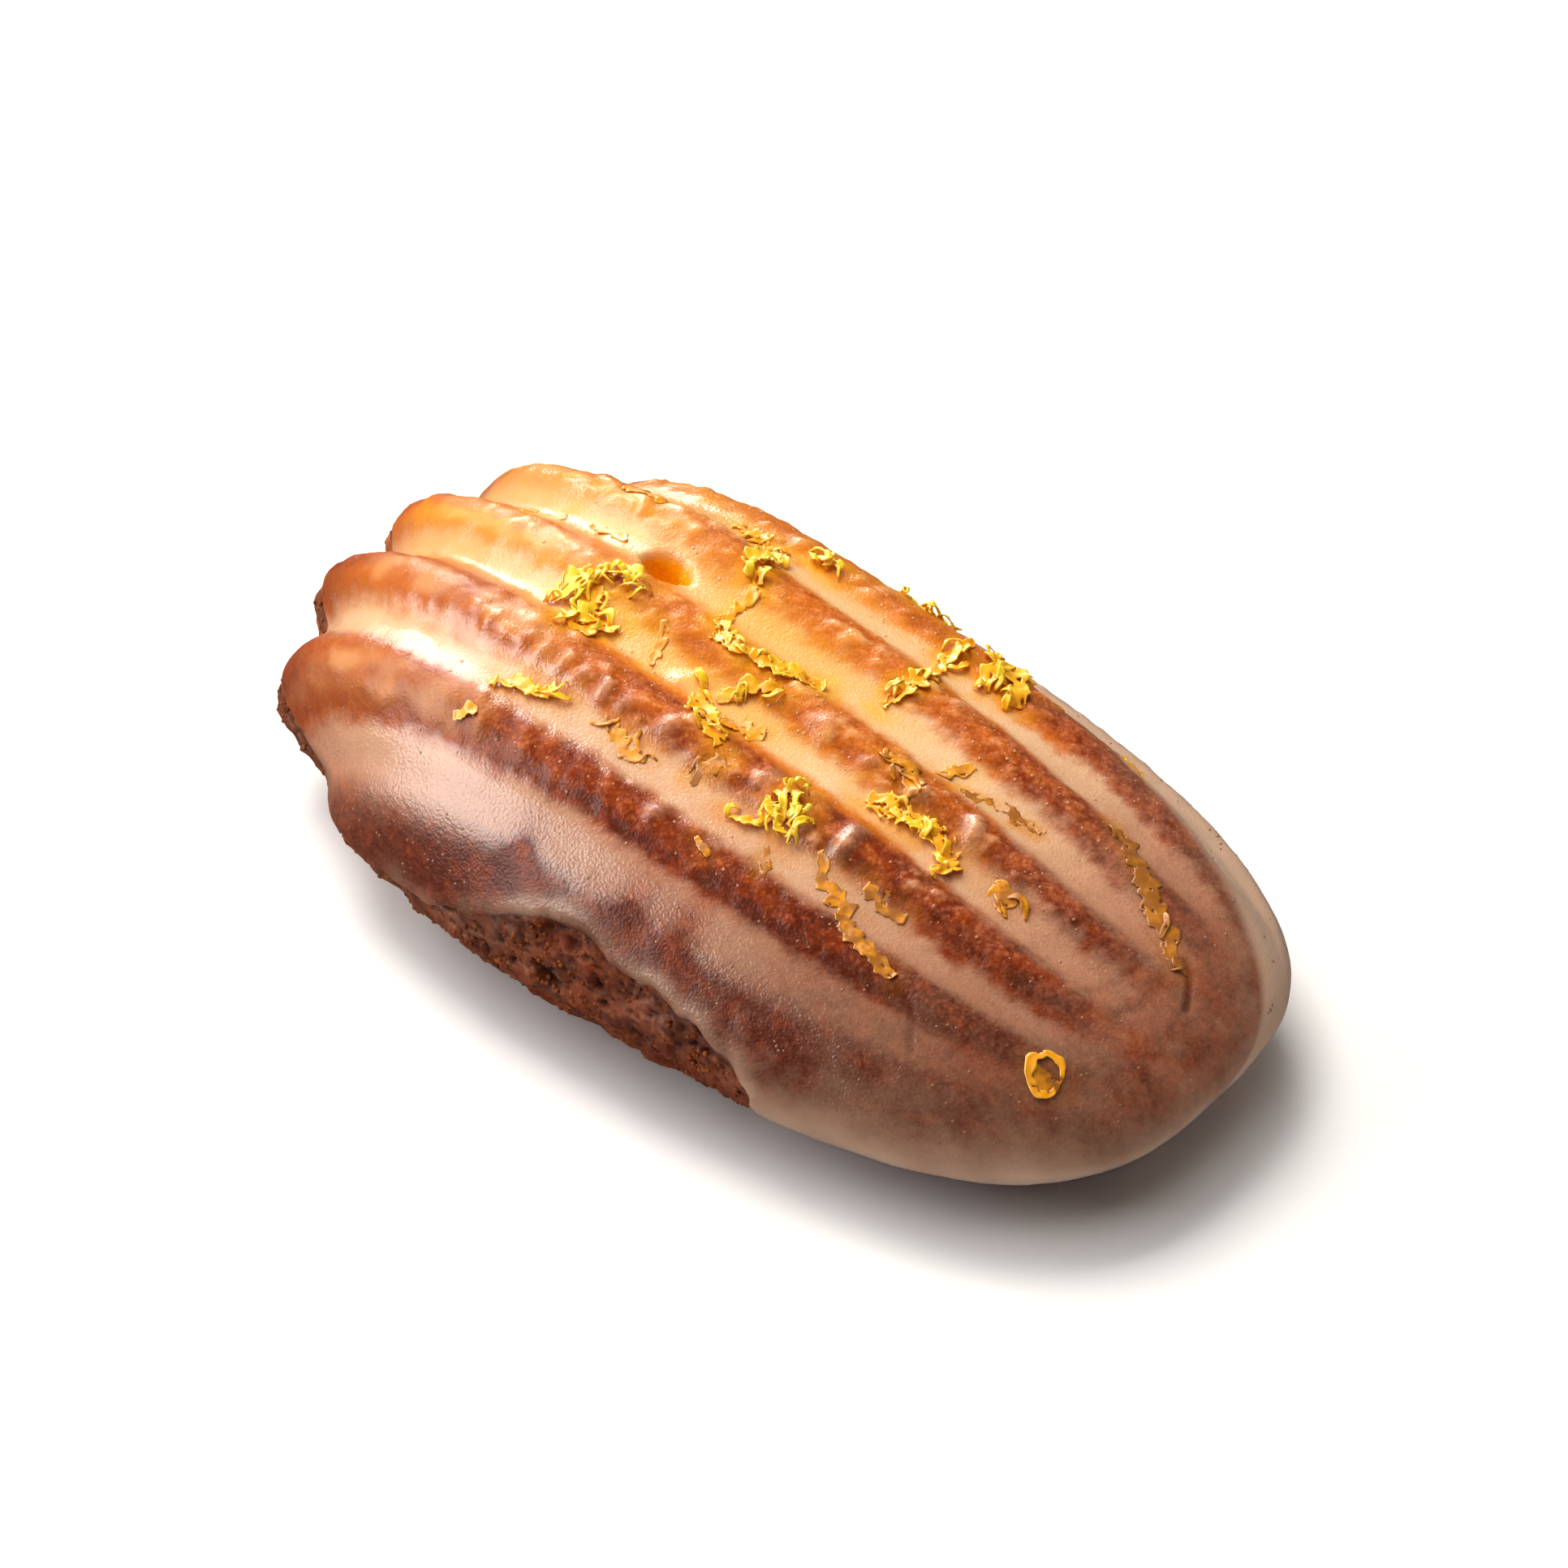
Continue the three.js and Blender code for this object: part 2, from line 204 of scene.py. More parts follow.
def profile(station, shape):  # stations run from -1 at the wide end to 1 at the nose
    ahead = station > shape["fullest"]
    share = np.abs(station - shape["fullest"]) / np.where(ahead, 1 - shape["fullest"], 1 + shape["fullest"])
    return np.where(ahead, fullness(share, shape["nose"]), fullness(share, shape["wide"]))


def halfWidthAt(station):
    return fullHalfWidth * profile(station, madeleine["outline"])


def towardsWideEnd(station):
    fullest = madeleine["outline"]["fullest"]
    return np.maximum(0, (fullest - station) / (1 + fullest))


def laneWidth(station):
    back = towardsWideEnd(station)
    return np.where(back > 0, fullHalfWidth * flutes["flare"] ** back, halfWidthAt(station))


def laneToY(lane, station):
    return lane * laneWidth(station) + flutes["lean"] * towardsWideEnd(station) ** 2


def yToLane(y, station):
    return (y - flutes["lean"] * towardsWideEnd(station) ** 2) / np.maximum(laneWidth(station), 1e-6)


def rimStation(lane):  # where a lane leaves the wide rim
    inside = np.full(np.shape(lane), madeleine["outline"]["fullest"])
    return bisect(inside, np.full(np.shape(lane), -1.0), lambda s: np.abs(laneToY(lane, s)) < halfWidthAt(s))


def heightAt(x, y):
    station = np.clip(x / halfLength, -1, 1)
    share = np.minimum(1, np.abs(y) / np.maximum(halfWidthAt(station), 1e-6))
    crown = madeleine["crown"] * profile(station, madeleine["ridgeLine"])
    return crown * fullness(share, madeleine["crossSection"])


def drifted(lane, station):
    stray = np.maximum(0, flutes["drift"] + flutes["driftSlope"] * lane)
    return lane - stray * smoothStep(*flutes["driftSets"], station) * (np.abs(lane) < 1)


def fluteWave(lane):  # 1 on a ridge, -1 in a groove
    count = np.abs(lane) / flutes["pitch"]
    lastGroove = flutes["ridgesEachSide"] - 0.5
    past = (count - lastGroove) * flutes["pitch"] / flutes["outerHalfPitch"]
    count = np.where(count <= lastGroove, count, np.minimum(flutes["ridgesEachSide"], lastGroove + past / 2))
    return np.cos(2 * np.pi * count)


def fluteFade(lane, station):
    end = flutes["fadeEnd"] + flutes["outerFadeEnd"] * np.abs(lane)
    return 1 - smoothStep(flutes["fadeStart"], end, station)


def fluteRelief(lane, station, rim):
    fromRim = np.maximum(0, station - rim) / flutes["notchReach"]
    deepest = (flutes["notchDepth"] - flutes["grooveDepth"]) * (1 - flutes["outerNotchLoss"] * lane ** 2)
    wave = fluteWave(drifted(lane, station))
    rounded = wave + flutes["roundness"] * (1 - wave * wave) - 1
    return (flutes["grooveDepth"] + deepest * np.exp(-fromRim ** 2)) / 2 * fluteFade(lane, station) * rounded


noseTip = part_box("cake")[1].x / mm
girdlePlace = np.array([noseTip - halfLength, 0, madeleine["restDepth"]])


# the camera comes first, so that the view is settled

cameraSet = {
    "turn": 39.03, "rise": 44.85, "distance": 527.7, "lens": 174.44, "sensor": 36,
    "shiftX": 0.0073, "shiftY": 0.0296,
}


def aimFrom(turn, rise):  # direction from the cake towards something seen at this turn and rise
    a, e = math.radians(turn), math.radians(rise)
    return Vector((math.sin(a) * math.cos(e), -math.cos(a) * math.cos(e), math.sin(e)))


def makeCamera():
    lens = bpy.data.cameras.new("camera")
    lens.lens = cameraSet["lens"]
    lens.sensor_width = cameraSet["sensor"]
    lens.shift_x = cameraSet["shiftX"]
    lens.shift_y = cameraSet["shiftY"]
    lens.clip_start = 0.01
    camera = bpy.data.objects.new("camera", lens)
    bpy.context.scene.collection.objects.link(camera)
    back = aimFrom(cameraSet["turn"], cameraSet["rise"])
    camera.location = Vector(girdlePlace * mm) + back * cameraSet["distance"] * mm
    camera.rotation_euler = back.to_track_quat("Z", "Y").to_euler()
    bpy.context.scene.camera = camera


makeCamera()
print("camera set")


def vertexNormals(points, triangles):
    a, b, c = (points[triangles[:, k]] for k in range(3))
    faceNormal = np.cross(b - a, c - a)
    normals = np.zeros_like(points)
    for k in range(3):
        for axis in range(3):
            normals[:, axis] += np.bincount(triangles[:, k], faceNormal[:, axis], len(points))
    return normals / np.maximum(np.linalg.norm(normals, axis=1, keepdims=True), 1e-12)


def splitQuads(quads):
    return np.concatenate([quads[:, [0, 1, 2]], quads[:, [0, 2, 3]]])


# points are in mm from the middle of the girdle
def makePiece(name, points, quads, triangles, material, paints):
    quads, triangles = np.reshape(quads, (-1, 4)).astype(int), np.reshape(triangles, (-1, 3)).astype(int)
    corners = np.concatenate([quads.ravel(), triangles.ravel()])
    sizes = np.concatenate([np.full(len(quads), 4), np.full(len(triangles), 3)])
    mesh = bpy.data.meshes.new(name)
    mesh.vertices.add(len(points))
    mesh.vertices.foreach_set("co", ((points + girdlePlace) * mm).astype(np.float32).ravel())
    mesh.loops.add(len(corners))
    mesh.loops.foreach_set("vertex_index", corners)
    mesh.polygons.add(len(sizes))
    mesh.polygons.foreach_set("loop_start", np.concatenate([[0], np.cumsum(sizes)[:-1]]))
    mesh.polygons.foreach_set("use_smooth", np.ones(len(sizes), bool))
    mesh.update(calc_edges=True)
    for paint, values in paints.items():
        layer = mesh.attributes.new(paint, "FLOAT", "POINT")
        layer.data.foreach_set("value", np.asarray(values, np.float32))
    mesh.materials.append(material)
    piece = bpy.data.objects.new(name, mesh)
    bpy.context.scene.collection.objects.link(piece)
    return piece


def settle(piece):
    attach(piece, "root")
    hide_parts("cake")


def colour(red, green, blue):  # screen values, 0 to 255, as a linear colour
    def linear(value):
        value /= 255
        return value / 12.92 if value <= 0.04045 else ((value + 0.055) / 1.055) ** 2.4
    return (linear(red), linear(green), linear(blue), 1)


def addNode(tree, kind, inputs=None, **settings):
    made = tree.nodes.new(kind)
    for key, value in settings.items():
        setattr(made, key, value)
    for key, value in (inputs or {}).items():
        if isinstance(value, bpy.types.NodeSocket):
            tree.links.new(value, made.inputs[key])
        else:
            made.inputs[key].default_value = value
    return made


def mixColours(tree, factor, first, second):
    return addNode(tree, "ShaderNodeMix", {0: factor, 6: first, 7: second}, data_type="RGBA").outputs[2]


def readPaint(tree, name):
    return addNode(tree, "ShaderNodeAttribute", attribute_name=name).outputs["Fac"]


def mapRange(tree, value, low, high, newLow=0.0, newHigh=1.0):
    inputs = {0: value, 1: low, 2: high, 3: newLow, 4: newHigh}
    return addNode(tree, "ShaderNodeMapRange", inputs, interpolation_type="SMOOTHSTEP").outputs[0]


def calculate(tree, operation, first, second):
    return addNode(tree, "ShaderNodeMath", {0: first, 1: second}, operation=operation).outputs[0]


def addUp(tree, first, *others):
    for other in others:
        first = calculate(tree, "ADD", first, other)
    return first


def jitter(tree, noise, amount):  # a noise spread from -amount to amount
    return mapRange(tree, noise, 0.3, 0.7, -amount, amount)


def bumpOf(tree, height, strength, distance):  # distance in mm
    inputs = {"Height": height, "Strength": strength, "Distance": distance * mm}
    return addNode(tree, "ShaderNodeBump", inputs).outputs[0]


def ramp(tree, factor, stops):
    made = addNode(tree, "ShaderNodeValToRGB", {0: factor})
    for _ in stops[2:]:
        made.color_ramp.elements.new(0.5)
    for element, (place, tint) in zip(made.color_ramp.elements, stops):
        element.position = place
        element.color = colour(*tint)
    return made.outputs[0]


def objectNoise(tree, size, detail):  # size in mm, from about 0.25 to 0.75
    place = addNode(tree, "ShaderNodeTexCoord").outputs["Object"]
    inputs = {"Vector": place, "Scale": 1 / (size * mm), "Detail": detail, "Roughness": 0.55}
    return addNode(tree, "ShaderNodeTexNoise", inputs).outputs["Fac"]


def newFinish(name, settings):
    finish = bpy.data.materials.new(name)
    finish.use_nodes = True
    tree = finish.node_tree
    tree.nodes.clear()
    surface = addNode(tree, "ShaderNodeBsdfPrincipled", settings)
    addNode(tree, "ShaderNodeOutputMaterial", {"Surface": surface.outputs[0]})
    return finish, tree, surface


# where the glaze ends

glazeEdge = {
    "places": [  # turn round the cake, 0 at the nose and -90 on the near side, and height over the girdle
        (-180, 4.4), (-174, 4.0), (-168, 5.2), (-161, 4.2), (-153, 2.4), (-146, 2.6), (-139, 1.8),
        (-132, 0.2), (-126, -0.8), (-121, 0.0), (-115, 0.2), (-110, 0.6), (-105, 2.1), (-102, 2.9),
        (-98, 4.3), (-93, 5.2), (-90.7, 5.3), (-87.6, 4.6), (-84.8, 3.9), (-81.5, 4.1), (-75.6, 3.2),
        (-70.8, 1.9), (-68.9, 0.0), (-68.3, -2.0), (-66, -3.4), (-61, -3.0), (-56, -2.4), (-51, -2.9),
        (-46, -2.3), (-40, -3.1), (-30, -3.9), (-18, -3.4), (-6, -4.6), (6, -3.8), (18, -4.7), (31, -3.7),
        (45, -4.5), (58, -3.2), (72, -4.2), (86, -3.0), (98, -3.9), (112, -2.4), (126, -1.8), (140, 0.2),
        (152, 2.0), (163, 3.8), (172, 4.8), (180, 4.4),
    ],
    "waver": 0.35, "waverSize": 2.6, "waverStretch": 0.6,
    "lip": 0.42, "lipWidth": 0.75, "dive": 0.95, "diveWidth": 0.6,
    "lipFades": [step("x", -14, 4, 0.35, 1), hill("distance", 0, 2.2, 0.15, 1)],
}


def turnOf(x, y):
    return np.degrees(np.arctan2(y / fullHalfWidth, x / halfLength))


def onPlan(x, y):
    return (np.abs(x) < halfLength) & (np.abs(y) < halfWidthAt(np.clip(x / halfLength, -1, 1)))


def girdleRun():  # turn, distance along the girdle, and place
    turns = np.radians(np.linspace(-180, 180, 1441))
    rays = np.stack([np.cos(turns) * halfLength, np.sin(turns) * fullHalfWidth], axis=1)
    reach = bisect(np.full(len(turns), 0.5), np.full(len(turns), 1.5), lambda share: onPlan(*rays.T * share))
    line = rays * reach[:, None]
    return np.degrees(turns), runAlong(*line.T), line


girdleTurns, girdleLengths, girdleLine = girdleRun()


def edgeDistance(points):  # in mm, over 0 where the glaze covers and under 0 where the crust is bare
    flattened = points * [1, 1, glazeEdge["waverStretch"]]
    waver = glazeEdge["waver"] * layeredNoise(flattened, glazeEdge["waverSize"], 3, 11)
    run = np.interp(turnOf(points[:, 0], points[:, 1]), girdleTurns, girdleLengths)
    height = points[:, 2]
    turns, levels = np.transpose(glazeEdge["places"])
    runs = np.interp(turns, girdleTurns, girdleLengths)
    distance = awayFrom(np.stack([runs, levels], axis=1), np.stack([run, height], axis=1))
    return np.where(height > np.interp(run, runs, levels), distance, -distance) + waver


def pitDepth(points, grow=0.0):  # share of the pit's depth at each point, 0 outside
    turn = math.radians(pit["turn"])
    dx, dy = points[:, 0] - pit["x"], points[:, 1] - pit["y"]
    along = (dx * math.cos(turn) + dy * math.sin(turn)) / (pit["long"] + grow)
    across = (dy * math.cos(turn) - dx * math.sin(turn)) / (pit["wide"] + grow)
    ragged = pit["ragged"] * softNoise(points, pit["raggedSize"], 5) if grow == 0 else 0
    wall = np.where(along > 0, *pit["walls"])
    return np.where(points[:, 2] > 0, 1 - smoothStep(1 - wall, 1.05, np.hypot(along, across) + ragged), 0)


shreds = [  # from, to, bow, width, arch, how far steeped, loose strands beside it
    ((-25.5, 3.5), (-23, 5.5), -0.5, 1.1, 0.0, 0.45, 0), ((-20.5, 5), (-17, 5), 0.2, 0.7, 0.0, 0.40, 0),
    ((-20.5, 8.5), (-17, 9), 0.5, 0.8, 0.2, 0.50, 0), ((-17, -3.5), (-15, 0.5), 0.4, 1.3, 0.6, 0.0, 2),
    ((-15, 0.5), (-12, 1), 0.6, 1.0, 0.7, 0.0, 2), ((-15.2, -0.5), (-13.2, -3.2), -0.5, 1.6, 0.3, 0.0, 2),
    ((-14.8, -4.4), (-12, -2), -0.3, 1.7, 0.2, 0.0, 1), ((-13.5, 12.2), (-9, 12), 0.6, 1.1, 0.0, 0.15, 2),
    ((-8.7, 11.3), (-7.2, 6.8), -0.4, 1.4, 0.4, 0.05, 1), ((-7.2, 6.8), (-6.9, 2.6), 0.3, 0.8, 0.0, 0.15, 0),
    ((-6.9, 2.6), (-3, 1.3), -0.5, 1.3, 0.2, 0.10, 1), ((-3, 1.3), (1.8, 3.6), -0.4, 1.4, 0.3, 0.10, 1),
    ((-2.6, -2.8), (0.4, 0.6), 0.5, 0.9, 0.4, 0.20, 1), ((-4, -2.6), (0.5, -6), -0.5, 1.3, 0.2, 0.05, 1),
    ((-1.3, -4), (1.6, -2.7), 0.0, 1.2, 0.0, 0.35, 0), ((0.3, -9.3), (1.5, -6.8), 0.3, 1.1, 0.0, 0.75, 0),
    ((-6.9, -8.8), (-3.2, -9.6), -0.7, 1.1, 0.0, 0.55, 1), ((-16, -11), (-11, -9.3), -0.2, 1.0, 0.3, 0.10, 1),
    ((-16.4, -14.4), (-15, -13.4), 0.0, 0.9, 0.2, 0.25, 0), ((-6.8, 14), (-5, 13.6), 0.2, 0.9, 0.5, 0.0, 1),
    ((-2, 16.8), (2.3, 17.2), 0.3, 1.0, 0.6, 0.0, 2), ((5.6, 5), (6.3, 10), -0.3, 1.1, 0.2, 0.10, 1),
    ((6.3, 10), (5.2, 15.5), 0.4, 0.9, 0.3, 0.05, 1), ((8.4, 12), (9.4, 16.4), 0.2, 1.1, 0.3, 0.10, 2),
    ((6.6, 16.3), (11.5, 12.6), 0.6, 1.2, 0.5, 0.15, 2), ((12, 16), (13.1, 16), 0.0, 0.6, 0.0, 0.40, 0),
    ((16, 16.2), (20, 16.2), 0.4, 1.0, 0.5, 0.30, 0), ((3.8, -9.6), (6.9, -7.7), -0.3, 0.6, 0.2, 0.0, 1),
    ((8.1, -8.5), (6.9, -5.8), 0.3, 1.9, 0.5, 0.0, 3), ((9.9, -2), (17.4, -1.8), 0.3, 1.4, 0.3, 0.05, 2),
    ((17.4, -1.8), (17.2, -3.6), 0.3, 0.8, 0.3, 0.15, 1), ((9, 1.4), (12.3, -0.6), 1.0, 1.2, 0.2, 0.60, 1),
    ((11.8, 2.8), (13.7, 5.2), 0.2, 0.8, 0.1, 0.55, 0), ((13.8, 3), (19.8, 4.4), 0.5, 0.8, 0.0, 0.80, 0),
    ((20.3, -1.6), (22.1, -2.2), 0.2, 1.4, 0.0, 0.60, 1), ((14.5, -7.8), (18, -8), -0.2, 1.1, 0.0, 0.70, 0),
    ((10.6, -7.9), (20.3, -12), -0.9, 1.1, 0.1, 0.65, 0), ((22.8, 9.2), (33, 2.6), 0.4, 1.2, 0.2, 0.85, 1),
    ((7.4, -9.8), (8.4, -11.9), 0.2, 0.7, 0.0, 0.80, 0), ((3.4, -12.4), (5, -13), 0.0, 0.5, 0.0, 0.60, 0),
    ((30.8, -10.5), (32.8, -10.1), 0, 1.5, 0, 0.75, 0), ((-9.6, -0.2), (-8, -3.4), 0.2, 0.7, 0.0, 0.45, 0),
]


# the glaze is a closed coat, thick in the grooves, that ends in a rounded lip

glazeSheet = {
    "columns": 216, "rows": 328, "skirt": 24, "skirtDepth": 6.0, "innerStep": 4, "thickness": 0.5,
    "edgeBand": (-0.3, 0.6), "girdleBand": 0.6,  # where the relief sets in, and what is evened out
}
pools = {  # the white glaze in the grooves
    "lanes": [  # lane and half width, its shift and spread at the nose, and how soft its edges are
        (-0.783, 0.055, 0, 1.0, 1), (-0.475, 0.060, -0.03, 1.0, 0), (-0.117, 0.042, -0.04, 2.2, 0),
        (0.210, 0.056, -0.02, 1.6, 0), (0.535, 0.042, 0.02, 1.6, 0),
    ],
    "ragged": [(0.5, 2.6, 31), (0.45, 1.1, 32), (0.2, 0.5, 33)],  # share, size and seed
    "upperEdge": (1.9, 0.7), "lowerEdge": (1.75, 0.6), "margin": (3.0, 1.4),  # start and full, in half widths
    "raggedShare": (1, 0.6), "softer": {"upperRagged": -0.5, "lowerRagged": -0.4, "start": 0.2, "full": -0.3},
    "nose": (12, 28), "wideEnd": (-8, -26, -0.1), "levelSoftness": 0.3,
    "thin": [  # pool, x, reach and how much less
        (3, -5, 5, 0.2), (2, -5, 6, 0.1), (0, 17, 6, 0.4), (0, 30, 6, 0.55), (4, -17, 7, 0.5),
    ],
    "bareSpots": [(-7.0, -18.05, 0.8, 1.3), (2.4, -17.9, 0.8, 2.0), (6.3, -17.1, 0.8, 1.5)],
}
farLip = {  # the line past which the far side is all white, and how much wider its blur is at the nose
    "x": (0, 10.5, 20, 28.6, 33.2, 39), "lane": (0.84, 0.815, 0.76, 0.72, 0.68, 0.64),
    "blur": 5, "blurAt": (18, 32),
}
blisters = {  # size and seed of the cells that they rise from, and how those are warped
    "large": (1.9, 21), "small": (0.9, 22), "warp": 0.7, "warpSize": 1.7, "warpSeeds": (61, 62, 63),
    "whiteAndHighlightOver": 0.4, "slopeStep": 0.02, "fullSlope": 0.7,
}
# where the bake tone falls towards the nose and the near side, partly real bake and partly painted shade
bakeAndShadeSteps = {"nose": (-4, 36, 0.14), "near": (-20, 3, 0.12), "wideEnd": (-10, -26), "wideShift": (-4, -3)}
stainShade = {
    "fresh": (0.4, 0.8), "dark": (0.2, 0.6, 0.4), "reach": (1.2, 0.35), "patches": (2.4, 38, -0.7, 0.2),
}
marks = [  # line of places, half width, and depth, or height where it is below 0; raised single blisters are painted white, partly as painted highlight
    (((32.8, 3.7), (33.7, 3.0), (34.5, 1.8), (35.0, 0.9)), 0.28, 0.22),
    (((19.9, -11.8), (20.9, -12.4), (21.7, -12.5), (22.5, -13.0), (23.7, -14.7)), 0.25, 0.10),
    (((30.2, -3.4), (31.0, -1.2), (31.1, 2.0)), 0.40, 0.07),
    (((32.2, -4.0), (32.9, -1.5), (32.8, 1.0)), 0.40, 0.06),
    (((11.7, -7.3), (11.6, -5.1)), 0.60, -0.50), (((16.6, 1.3), (17.4, -0.1)), 0.50, -0.45),
    (((-8.5, -8.1), (-8.6, -7.2)), 0.45, -0.40), (((-3.4, -7.5), (-3.2, -6.7)), 0.60, -0.35),
    (((4.4, -6.6), (4.9, -5.8)), 0.70, -0.35), (((4.0, -0.1), (4.4, 0.6)), 0.65, -0.35),
    (((12.2, -0.2), (12.8, 0.4)), 0.55, -0.35), (((-5.6, -3.0), (-4.9, -2.4)), 0.60, -0.30),
    (((0.0, -12.9), (0.3, -12.3)), 0.50, -0.35), (((8.3, -0.3), (8.8, 0.2)), 0.45, -0.30),
    (((-15.9, -7.9), (-15.5, -7.3)), 0.45, -0.28), (((-14.2, -8.1), (-13.9, -7.5)), 0.40, -0.28),
    (((-12.4, -8.2), (-12.2, -7.5)), 0.40, -0.30), (((-10.8, -8.0), (-10.5, -7.4)), 0.45, -0.30),
    (((-18.9, -8.0), (-18.5, -7.3)), 0.50, -0.25), (((-6.9, -7.9), (-6.6, -7.3)), 0.40, -0.28),
]
glazeNoises = {  # size and seed, and the stretch of one
    "grain": (0.55, 23), "swell": (3.2, 24), "wideSwell": (2.3, 25), "skirtNoise": (4.0, 26),
    "clusters": (3.6, 27), "bubbleNoise": (5.0, 28), "domeNoise": (1.9, 29), "lipNoise": (2.2, 30),
    "creamNoise": (2.6, 31), "hazeNoise": (4.5, 34), "blotchLarge": (3.6, 35), "blotchMiddle": (1.6, 36),
    "blotchSmall": (0.8, 37),
    "noseNoise": (3.0, 39), "flankNoise": (2.3, 51), "crestHighlightNoise": (2.4, 52, 0.6, 1, 1),
    "crownNoise": (1.8, 53), "goldNoise": (2.6, 54),
}
